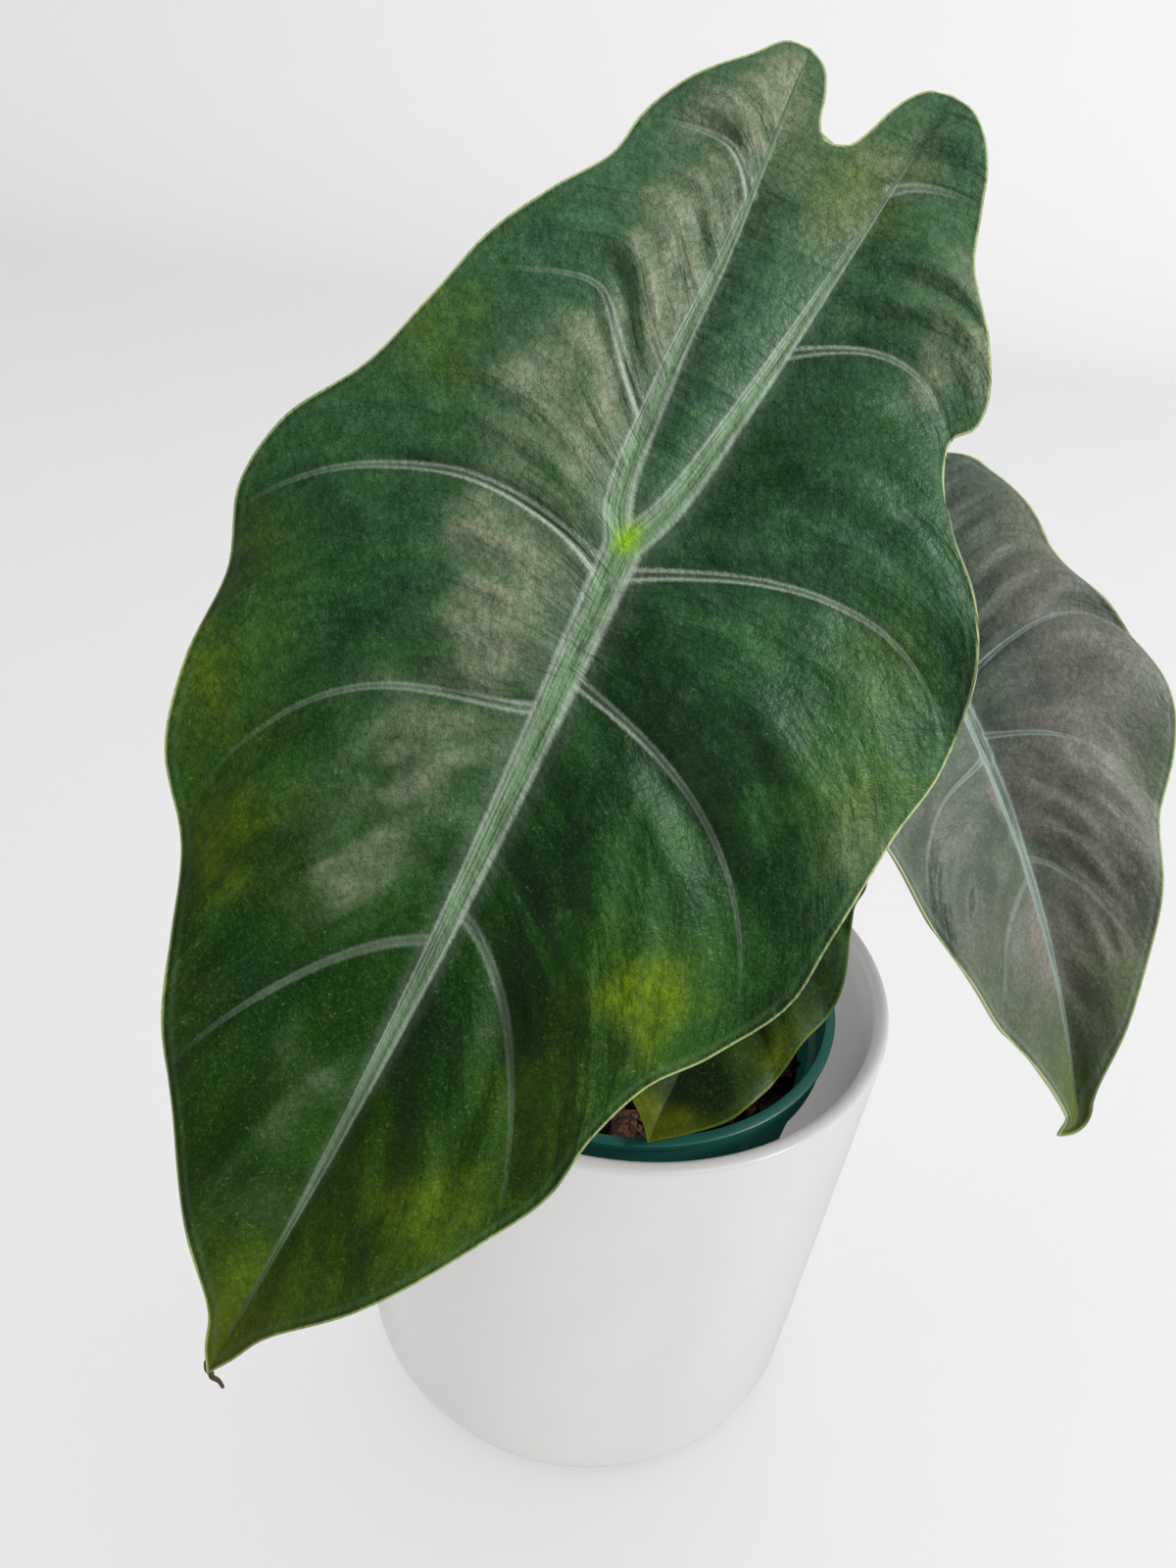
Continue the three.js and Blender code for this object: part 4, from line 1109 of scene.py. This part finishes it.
# %% Masks of a leaf
# Some masks paint light onto the relief: a painted highlight on the fold tops, and painted shade in the fold
# troughs, in the pits, between the pebbles, in the vein grooves and in the hollows beside the veins
leaf_masks = {
    "blotched": ("blotch", 0.36, 0.62), "mottled": ("mottle", 0.42, 0.7), "cloudy": ("mottle", 0.3, 0.6),
    "grainy": ("grain", 0.45, 0.72), "freckled": ("grain", 0.64, 0.76), "painted_shade_between_pebbles": ("pebble", 0.35, 0.8),
    "stippled": ("stipple", 0.5, 0.72), "painted_shade_in_pits": ("stipple", 0.5, 0.3), "creased": ("crease", 0.56, 0.7),
    "streaked": ("streak", 0.5, 0.72), "brushed": ("streak", 0.3, 0.62), "painted_light_on_folds": ("fold", 0.4, 0.62),
    # The sheen masks give the painted sheen, and crest keeps its silver on the fold tops as a painted
    # highlight
    "painted_shade_in_folds": ("fold", 0.52, 0.34), "crest": ("fold", 0.3, 0.58), "broad_painted_sheen": ("painted_sheen", 0.04, 0.8),
    # One mask paints a reflection on the upper blade, and another darkens the blade towards the tip
    "painted_sheen_core": ("painted_sheen", 0.36, 1.0), "painted_reflection_top": ("toward_tip", 0.72, 0.12), "lower_blade": ("toward_tip", 0.45, 0.85),
    "tipped": ("toward_tip", 0.9, 0.98), "painted_shade_beside_veins": ("vein", 5.0, 1.6), "vein_down": ("soft_vein", 1.95, 1.2),
    "vein_line": ("soft_vein", 1.15, 0.8), "painted_shade_in_vein_grooves": ("vein", 0.6, 0.2),
    "beside_rib": ("rib", 2.6, 1.1), "rib_down": ("soft_rib", 1.35, 1.0), "rib_body": ("soft_rib", 1.0, 0.8),
    "rib_side": ("soft_rib", 0.5, 0.85), "rib_thread": ("thread", 0.52, 0.38), "hem": ("edge", 0.6, 0.2),
    "hem_inside": ("edge", 1.0, 1.6), "hem_outside": ("edge", 2.6, 1.9),
}
mask_floors = {"crest": 0.3, "brushed": 0.5, "cloudy": 0.5}
print(len(leaf_masks), "masks")


def leaf_amounts(tree, found):
    for name, roughness in (("rib", 0.3), ("vein", 1.1)):
        found["soft_" + name] = add(tree, "ShaderNodeMath", {
            0: found["stipple"], 1: roughness, 2: found[name],
        }, operation="MULTIPLY_ADD")
    for name, (pattern, start, full) in leaf_masks.items():
        found[name] = add(tree, "ShaderNodeMapRange", {
            "Value": found[pattern], "From Min": start, "From Max": full, "To Min": mask_floors.get(name, 0),
        }, interpolation_type="SMOOTHSTEP")
    return found


# %% [markdown]
# The colours are laid one over another as a painter glazes: ground, mottling, sheen, yellowing, veins,
# rib, margin. Each layer names its colour, the masks that are multiplied to give its amount, and how
# strong it is at most. The relief names patterns, each with its height in millimetres.

# %% Colour layers and relief
leaf_layers = [
    # Painted highlight on the fold tops and painted shade in the troughs, pits, pebble grooves and vein
    # hollows
    ("green", ("blotched",), 1.0), ("light", ("mottled", "painted_light_on_folds"), 0.6), ("deep", ("painted_shade_in_folds",), 0.7),
    # Darker olive towards the tip, and a painted reflection that makes the upper blade lighter and cooler
    ("olive", ("lower_blade",), 0.7), ("painted_reflection_tint", ("painted_reflection_top", "cloudy"), 0.65), ("deep", ("streaked",), 0.2),
    # Broad and silver painted sheen, a painted highlight over the leaf's own metallic sheen
    ("bloom", ("broad_painted_sheen", "cloudy"), 0.75), ("painted_silver_sheen", ("painted_sheen_core", "crest", "cloudy"), 0.62),
    # Yellowing, then painted shade from the shade spots
    ("sunned", ("sun", "cloudy"), 1.0), ("deep", ("shade",), 0.95), ("light", ("grainy",), 0.24),
    ("glint", ("stippled",), 0.09), ("deep", ("painted_shade_in_pits",), 0.45), ("deep", ("creased",), 0.2),
    ("deep", ("painted_shade_between_pebbles", "cloudy"), 0.32), ("dry", ("tipped",), 0.8),
    ("freckle", ("freckled", "mottled"), 0.5), ("deep", ("painted_shade_beside_veins", "vein_shows"), 0.35),
    ("down", ("beside_rib", "rib_shows", "brushed"), 0.12), ("down", ("vein_down", "vein_shows"), 0.9),
    ("vein", ("vein_line", "vein_shows"), 0.6), ("deep", ("painted_shade_in_vein_grooves", "vein_shows"), 0.55),
    ("down", ("rib_down", "rib_shows"), 0.8), ("vein", ("rib_body",), 0.8),
    ("rib", ("rib_body", "rib_shows"), 1.0), ("down", ("rib_side", "rib_body", "rib_shows"), 0.5),
    ("deep", ("rib_body", "rib_thread"), 0.45),
    ("sprout", ("joint",), 1.0), ("vein", ("hem_inside", "hem_outside"), 0.35), ("hem", ("hem",), 0.9),
    ("sunned", ("hem", "lower_blade"), 0.3),
]
leaf_relief = [
    ("stipple", 0.06), ("grain", 0.14), ("pebble", -0.13), ("mottle", 0.5), ("streak", 0.12),
    ("crease", 0.08), ("fold", 1.3), ("ribbing", 0.22),
]
print(len(leaf_layers), "layers of colour and", len(leaf_relief), "of relief")

# %% [markdown]
# The three leaves share one recipe and differ in their tones, their gloss and how rough their skin is.
# The layers could be mixed by hand, but a loop over the table keeps them in order and easy to retouch.
# The relief is a sum of its patterns, so one Bump node is enough.

# %% Skin of a leaf
def leaf_skin(name, tones, gloss, rough_skin):
    material, tree, surface = material_named(name)
    found = leaf_amounts(tree, leaf_patterns(tree))
    skin = tones["deep"]
    for tone, masks, amount in leaf_layers:
        for mask in masks:
            amount = add(tree, "ShaderNodeMath", {0: found[mask], 1: amount}, operation="MULTIPLY")
        skin = add(tree, "ShaderNodeMix", {0: amount, 6: skin, 7: tones[tone]}, 2, data_type="RGBA")
    found["ribbing"] = add(tree, "ShaderNodeMath", {
        0: found["thread"], 1: found["rib_body"],
    }, operation="MULTIPLY")
    relief = 0.0
    for pattern, height in leaf_relief:
        relief = add(tree, "ShaderNodeMath", {
            0: found[pattern], 1: height, 2: relief,
        }, operation="MULTIPLY_ADD")
    bump = add(tree, "ShaderNodeBump", {"Height": relief, "Distance": MM, "Strength": rough_skin})
    rough = add(tree, "ShaderNodeMapRange", {
        "Value": found["grain"], "From Min": 0.3, "From Max": 0.7, "To Min": gloss, "To Max": gloss + 0.12,
    })
    feed(tree, surface, {
        "Base Color": skin, "Roughness": rough, "Normal": bump, "IOR": 1.42, "Specular IOR Level": 0.17,
    })
    return material


# %% [markdown]
# The large leaf is mature and dark. The side leaf is young and still bronze, with a pewter sheen that is
# partly its own and partly painted highlight. The low leaf lies in the shade of the large one: its skin
# is a darker copy that paints that shade, with no painted sheen, and it is yellowing at the tip.

# %% Three upper skins
# The bloom and silver tones colour the painted sheen, over the leaf's own metallic sheen
dark_tones = dict(
    # The cool tone is the colour of the painted reflection on the upper blade
    deep="#103214", green="#28561f", light="#466d38", olive="#2c4600", painted_reflection_tint="#597f66", painted_silver_sheen="#a0a08b",
    bloom="#5f7858", sunned="#6a8404", glint="#7c9660", freckle="#8da038", down="#aab8a8", vein="#4f6d44",
    rib="#7e9c78", sprout="#93c21d", hem="#b8c48a", dry="#545a08",
)
bronze_tones = dict(
    dark_tones, deep="#3b4a40", green="#5c6858", light="#777f72", olive="#5e644c", painted_reflection_tint="#69786e",
    painted_silver_sheen="#8f8680", bloom="#767069", sunned="#5f7a2c", glint="#9a9e90", down="#96a29c", vein="#7a857c",
    rib="#84958a", dry="#56641c",
)
# A darker copy of the skin for the low leaf, which paints the shade that the large leaf casts on it
shaded_tones = dict(
    dark_tones, deep="#10240c", green="#1e3a12", light="#33501f", olive="#263a0a", painted_reflection_tint="#27462a",
    sunned="#74800c", down="#40593a", vein="#2a4622", rib="#3f5e34", hem="#4f6128",
)
dark_skin = leaf_skin("waxy_leaf_dark_green", dark_tones, 0.33, 1)
bronze_skin = leaf_skin("waxy_leaf_young_bronze", bronze_tones, 0.36, 0.6)
shaded_skin = leaf_skin("waxy_leaf_shaded_green", shaded_tones, 0.42, 0.4)
print("upper skins of", len(leaf_layers), "layers each")

# %% [markdown]
# ## The underside and the rim
#
# The underside of this alocasia is wine red between paler, greenish ribs that stand out. The very edge
# of the blade is thick, clear tissue, which catches the light as a cream line.

# %% Underside and rim
wine_skin, tree, surface = material_named("leaf_underside_wine")
place = add(tree, "ShaderNodeTexCoord", out="Object")
# Mottling of 6 mm
mottle = add(tree, "ShaderNodeTexNoise", {"Vector": place, "Scale": 160, "Detail": 4})
skin = add(tree, "ShaderNodeMix", {0: mottle, 6: "#3c2430", 7: "#5f4550"}, 2, data_type="RGBA")
for key, start, full in (("vein", 1.6, 0.6), ("rib", 1.5, 0.7)):
    known = add(tree, "ShaderNodeAttribute", out="Fac", attribute_name=key)
    amount = add(tree, "ShaderNodeMapRange", {
        "Value": known, "From Min": start, "From Max": full,
    }, interpolation_type="SMOOTHSTEP")
    skin = add(tree, "ShaderNodeMix", {0: amount, 6: skin, 7: "#8d9a72"}, 2, data_type="RGBA")
bump = add(tree, "ShaderNodeBump", {"Height": mottle, "Distance": 0.0004, "Strength": 0.6})
feed(tree, surface, {"Base Color": skin, "Normal": bump, "Roughness": 0.55})

rims = {}
# The green margin is a darker copy of the clear one, which paints the shade that the low leaf lies in
for name, dull, bright in (("clear", "#bccb8c", "#eceee0"), ("green", "#31491c", "#4d6128")):
    rims[name], tree, surface = material_named("leaf_margin_" + name)
    place = add(tree, "ShaderNodeTexCoord", out="Object")
    patch = add(tree, "ShaderNodeTexNoise", {"Vector": place, "Scale": 60, "Detail": 2})
    colour = add(tree, "ShaderNodeMix", {0: patch, 6: dull, 7: bright}, 2, data_type="RGBA")
    feed(tree, surface, {"Base Color": colour, "Roughness": 0.4})
print("underside and", len(rims), "margins")

# %% [markdown]
# Each blade takes three materials. Solidify gives the first to the upper side, the second to the
# underside and the third to the rim.

# %% Three blades
large_blade = placed_blade(large_leaf, [dark_skin, wine_skin, rims["clear"]])
placed_blade(side_leaf, [bronze_skin, wine_skin, rims["clear"]])
placed_blade(low_leaf, [shaded_skin, wine_skin, rims["green"]])

# %% [markdown]
# The drip tip of the large leaf has dried to a thin dark thread with a kink in it. It is a grid rolled
# into a tube round a smooth line, which is how the stalks are made too.

# %% Rolled tube
def measured(line):
    """How far along the line each of its points lies"""
    return np.concatenate([[0], np.cumsum(np.linalg.norm(np.diff(line, axis=0), axis=1))])


def rolled(centre, radius_at, columns):
    """Places on a tube round a line, and how far round and along it each of them lies"""
    rows, ridges, ridge_height = len(centre), 7, 0.02
    length = measured(centre)
    places, flow = np.empty((rows, columns, 3)), np.empty((rows, columns, 2))
    side = Vector((1, 0, 0))
    for i in range(rows):
        ahead = Vector(centre[min(i + 1, rows - 1)] - centre[max(i - 1, 0)]).normalized()
        side = (side - ahead * side.dot(ahead)).normalized()
        other = ahead.cross(side)
        radius = radius_at(length[i] / length[-1])
        for j, angle in enumerate(np.linspace(0, math.tau, columns)):
            ridged = radius * (1 + ridge_height * math.cos(ridges * angle))
            places[i, j] = centre[i] + np.array(side * math.cos(angle) + other * math.sin(angle)) * ridged
            flow[i, j] = angle * radius, length[i]
    return places, flow, length[-1]


def tube_mesh(places, flow):
    bm = bmesh.new()
    lay_grid(bm, bm.loops.layers.uv.new("flow"), places * MM, flow)
    bmesh.ops.remove_doubles(bm, verts=bm.verts, dist=SAME_PLACE)
    bmesh.ops.holes_fill(bm, edges=[edge for edge in bm.edges if edge.is_boundary])
    bmesh.ops.recalc_face_normals(bm, faces=bm.faces)
    return bm


# %% Dry tip
dry_tip, tree, surface = material_named("dry_drip_tip")
feed(tree, surface, {"Base Color": "#3a3120", "Roughness": 0.8})
lowest = min((vertex.co for vertex in large_blade.data.vertices), key=lambda place: place.z) / MM
# Places of the thread from the lowest point of the blade on
bends = [
    (-0.3, 0.9, 1.8), (-0.3, 0.6, 0), (0.1, 0.9, -1.8), (0.1, 1.1, -3.4), (1.2, 1.4, -4.8), (1.9, 1.6, -7.2),
]
line = smooth([tuple(lowest + Vector(bend)) for bend in bends], steps=4)
# It thins from 0.75 to 0.35 mm in radius
places, flow, length = rolled(line, lambda share: 0.75 - 0.4 * share, columns=12)
finished(tube_mesh(places, flow), "blade_large_dry_tip", [dry_tip], "blade_large")
print("dry tip", round(length, 1), "mm long, from", [round(value, 1) for value in lowest])

# %% [markdown]
# ## Stalks
#
# A stalk is a fleshy tube, widest at the sheath where it clasps the crown. Its UV map runs round and
# along the stalk, so the stripes follow it. Just under the blade it flares into the ribs.

# %% Stalk shape
stalks = {
    "large": dict(radii=(5, 3), path=[
        (-10, 20, 99), (-10, 20, 105.3), (-12.5, 20.5, 140), (-14, 18, 178), (-13.6, 10, 206),
        (-12.6, -3, 223.5),
    ]),
    "side": dict(radii=(4.6, 2.6), path=[
        (-3, 31, 99), (-3, 31, 105.3), (-1, 34.5, 122), (6, 43, 143), (20, 54, 161), (40, 64, 174),
        (58, 67, 179.5),
    ]),
    "low": dict(radii=(4, 2), path=[
        (3.5, 20.5, 99), (3.5, 20.5, 105.3), (5, 20, 112), (11, 16.5, 122.5), (20.5, 10.5, 130.5),
    ]),
}
blade_gap = 1.3  # millimetres from the end of a stalk to the top of its blade


def stalk_places(leaf, stalk, rows=90):
    turn = turn_about("Z", leaf["heading"]) @ turn_about("X", leaf["tilt"])
    end = Vector(leaf["at"]) - blade_gap * (turn @ Vector((0, 0, 1)))
    line = smooth([*stalk["path"], tuple(end)], steps=20)
    length = measured(line)
    wanted = np.linspace(0, length[-1], rows)
    centre = np.stack([np.interp(wanted, length, line[:, i]) for i in range(3)], -1)
    wide, narrow = stalk["radii"]

    def radius_at(share):
        # It widens by a third over its last 7 per cent, under the blade
        flare = 1 + 0.35 * max(0, (share - 0.93) / 0.07) ** 2
        return (narrow + (wide - narrow) * (1 - share) ** 1.6) * flare

    return rolled(centre, radius_at, columns=28)


# %% [markdown]
# The skin of a stalk is a clear pale green. Fine stripes run up it, and towards the crown it takes on
# brown and purple flecks.

# %% Stalk skin
stalk_skin, tree, surface = material_named("fleshy_stalk_green")
flow = add(tree, "ShaderNodeUVMap", uv_map="flow")
place = add(tree, "ShaderNodeTexCoord", out="Object")
height = add(tree, "ShaderNodeSeparateXYZ", {"Vector": place}, "Z")
# Stripes 0.7 by 17 mm, flecks 1.1 by 4 mm
striped = add(tree, "ShaderNodeMapping", {"Vector": flow, "Scale": (1400, 60, 1)})
stripes = add(tree, "ShaderNodeTexNoise", {"Vector": striped, "Scale": 1, "Detail": 3})
flecked = add(tree, "ShaderNodeMapping", {"Vector": flow, "Scale": (900, 260, 1)})
flecks = add(tree, "ShaderNodeTexNoise", {"Vector": flecked, "Scale": 1, "Detail": 4})
tone = add(tree, "ShaderNodeMix", {0: stripes, 6: "#6d8a4d", 7: "#a5bb7c"}, 2, data_type="RGBA")
fleck = add(tree, "ShaderNodeMapRange", {"Value": flecks, "From Min": 0.5, "From Max": 0.62})
low_down = add(tree, "ShaderNodeMapRange", {
    "Value": height, "From Min": 0.102, "From Max": 0.19, "To Min": 0.9, "To Max": 0.12,
})
amount = add(tree, "ShaderNodeMath", {0: fleck, 1: low_down}, operation="MULTIPLY")
colour = add(tree, "ShaderNodeMix", {0: amount, 6: tone, 7: "#5a3b3a"}, 2, data_type="RGBA")
bump = add(tree, "ShaderNodeBump", {"Height": stripes, "Distance": 0.0002, "Strength": 0.7})
feed(tree, surface, {"Base Color": colour, "Normal": bump, "Roughness": 0.42})
print("stalk skin")

# %% [markdown]
# The three stalks differ only in their path and their thickness, so one loop makes them all.

# %% Three stalks
for leaf in (large_leaf, side_leaf, low_leaf):
    places, flow, length = stalk_places(leaf, stalks[leaf["name"]])
    name = "petiole_" + leaf["name"]
    finished(tube_mesh(places, flow), name + "_striped", [stalk_skin], name)
    print(name, round(length), "mm long")

# %% [markdown]
# ## Floor and light
#
# A product photographer sets the plant on a sweep: a sheet of matt paper that lies flat and then curves
# up into the wall, so no line shows where the floor ends. One profile, a straight line and a quarter
# circle, is drawn out sideways to make it.

# %% Paper sweep
front, back, side, height, bend = -1.3, 1.5, 4, 3.2, 0.9  # metres
flat_steps, bend_steps = 10, 16
flat_step = (back - front) / flat_steps
profile = [(front + flat_step * i, 0) for i in range(flat_steps + 1)]
for turn in np.linspace(0, math.pi / 2, bend_steps + 1)[1:]:
    profile.append((back + bend * math.sin(turn), bend - bend * math.cos(turn)))
profile.append((back + bend, height))
sweep = bmesh.new()
points = [sweep.verts.new((-side, y, z)) for y, z in profile]
lines = [sweep.edges.new(pair) for pair in zip(points, points[1:])]
drawn = bmesh.ops.extrude_edge_only(sweep, edges=lines)["geom"]
moved = [part for part in drawn if isinstance(part, bmesh.types.BMVert)]
bmesh.ops.translate(sweep, verts=moved, vec=(2 * side, 0, 0))
bmesh.ops.recalc_face_normals(sweep, faces=sweep.faces)
if sweep.faces[:][0].normal.z < 0:
    bmesh.ops.reverse_faces(sweep, faces=sweep.faces)
paper, tree, surface = material_named("matt_white_paper")
feed(tree, surface, {"Base Color": "#f4f4f4", "Roughness": 0.9})
sweep_object = put("paper_sweep", mesh_from(sweep, "paper_sweep"))
sweep_object.data.shade_smooth()
sweep_object.data.materials.append(paper)
sweep_object.visible_glossy = False
sweep_object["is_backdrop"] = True
print("sweep of", len(sweep_object.data.polygons), "faces")

# %% [markdown]
# The room is an even grey that is darker above and behind the camera. A waxy leaf mirrors the place
# that it faces, so a dark place there keeps its green deep, and the paper is left out of reflections
# for the same reason. Seen directly, the room is as pale as the paper.

# %% Room light
world = bpy.data.worlds.new("studio")
bpy.context.scene.world = world
world.use_nodes = True
room = world.node_tree
dark_side = (0.0, -0.85, 0.53)  # the way from the plant to the place above and behind the camera
bright, dark, backdrop = 0.4, 0.04, 0.85
toward = add(room, "ShaderNodeTexCoord", out="Generated")
facing = add(room, "ShaderNodeVectorMath", {0: toward, 1: dark_side}, "Value", operation="DOT_PRODUCT")
level = add(room, "ShaderNodeMapRange", {
    "Value": facing, "From Min": 0.3, "From Max": 0.95, "To Min": bright, "To Max": dark,
}, interpolation_type="SMOOTHSTEP")
seen = add(room, "ShaderNodeLightPath", out="Is Camera Ray")
strength = add(room, "ShaderNodeMix", {0: seen, 2: level, 3: backdrop})
feed(room, room.nodes["Background"], {"Color": (1, 1, 1, 1), "Strength": strength})
bpy.context.scene.view_settings.view_transform = "Standard"
print("room light from", bright, "down to", dark)

# %% [markdown]
# A large softbox to the right of the camera lights every slope that leans to the right, which gives the
# silver sheen on one side of each rib. A smaller lamp further round rakes over the blade and picks out
# its relief. The other lamps are there for the pots and the paper alone.

# %% Lamps
def lamp(name, kind, place, target, energy, bounces=None, **settings):
    data = bpy.data.lights.new(name, kind)
    data.energy = energy
    for key, value in settings.items():
        setattr(data, key, value)
    if bounces is not None:
        data.cycles.max_bounces = bounces
    made = put(name, data)
    made.location = place
    made.rotation_euler = (Vector(target) - Vector(place)).to_track_quat("-Z", "Y").to_euler()
    return made


middle = (0, 0, 0)
softbox = lamp("softbox_front", "AREA", (0.95, -1.1, 1.25), (0, 0, 0.15), 6.5, size=0.6)
raking = lamp("raking_lamp", "AREA", (1.45, -0.25, 1.15), (0, 0, 0.2), 30, size=0.35)
pot_fills = [
    lamp("pot_fill", "SUN", (2.2, -1.0, 0.8), middle, 1.1, bounces=0, use_shadow=False),
    lamp("pot_fill_left", "SUN", (-2.2, -0.9, 0.5), middle, 0.95, bounces=0, use_shadow=False),
]
paper_lamps = [
    lamp("paper_light", "AREA", (2.0, -1.2, 2.2), (0.2, 1.0, 0.1), 62, bounces=1, size=2.0, use_shadow=False),
    lamp("paper_sun", "SUN", (0.6, -1.5, 1.2), middle, 1.4, bounces=1, use_shadow=False),
]
print("lamps", [made.name for made in (softbox, raking, *pot_fills, *paper_lamps)])

# %% [markdown]
# Light linking says which objects a lamp may light, as a flag on a stand does in a studio. The raking
# lamp is kept off the white pot and the paper, which would burn out, and those have soft lamps of their
# own that cast no second shadow. Their light hardly bounces on between the pot and the paper, so the
# paper keeps its soft shade at the foot of the pot.

# %% Light linking
def flagged(lamps, objects, state):
    group = bpy.data.collections.new("linked_" + lamps[0].name)
    for item in objects:
        group.objects.link(item)
    for link in group.collection_objects:
        link.light_linking.link_state = state
    for made in lamps:
        made.light_linking.receiver_collection = group
        print(made.name, state.lower(), [item.name for item in objects])


flagged(paper_lamps, [sweep_object], "INCLUDE")
flagged(pot_fills, [cover_object, nursery_object], "INCLUDE")
flagged([softbox], [sweep_object], "EXCLUDE")
flagged([raking], [sweep_object, cover_object], "EXCLUDE")

# %% [markdown]
#
# The box of the dressed plant is printed beside the box of the solid model. The dressed
# plant must fill the same box as the solid model.

# %% Finish
dressed_box = [list(corner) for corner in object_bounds()]
for low, high in zip(solid_box, dressed_box):
    print([round(value, 4) for value in low], [round(value, 4) for value in high])
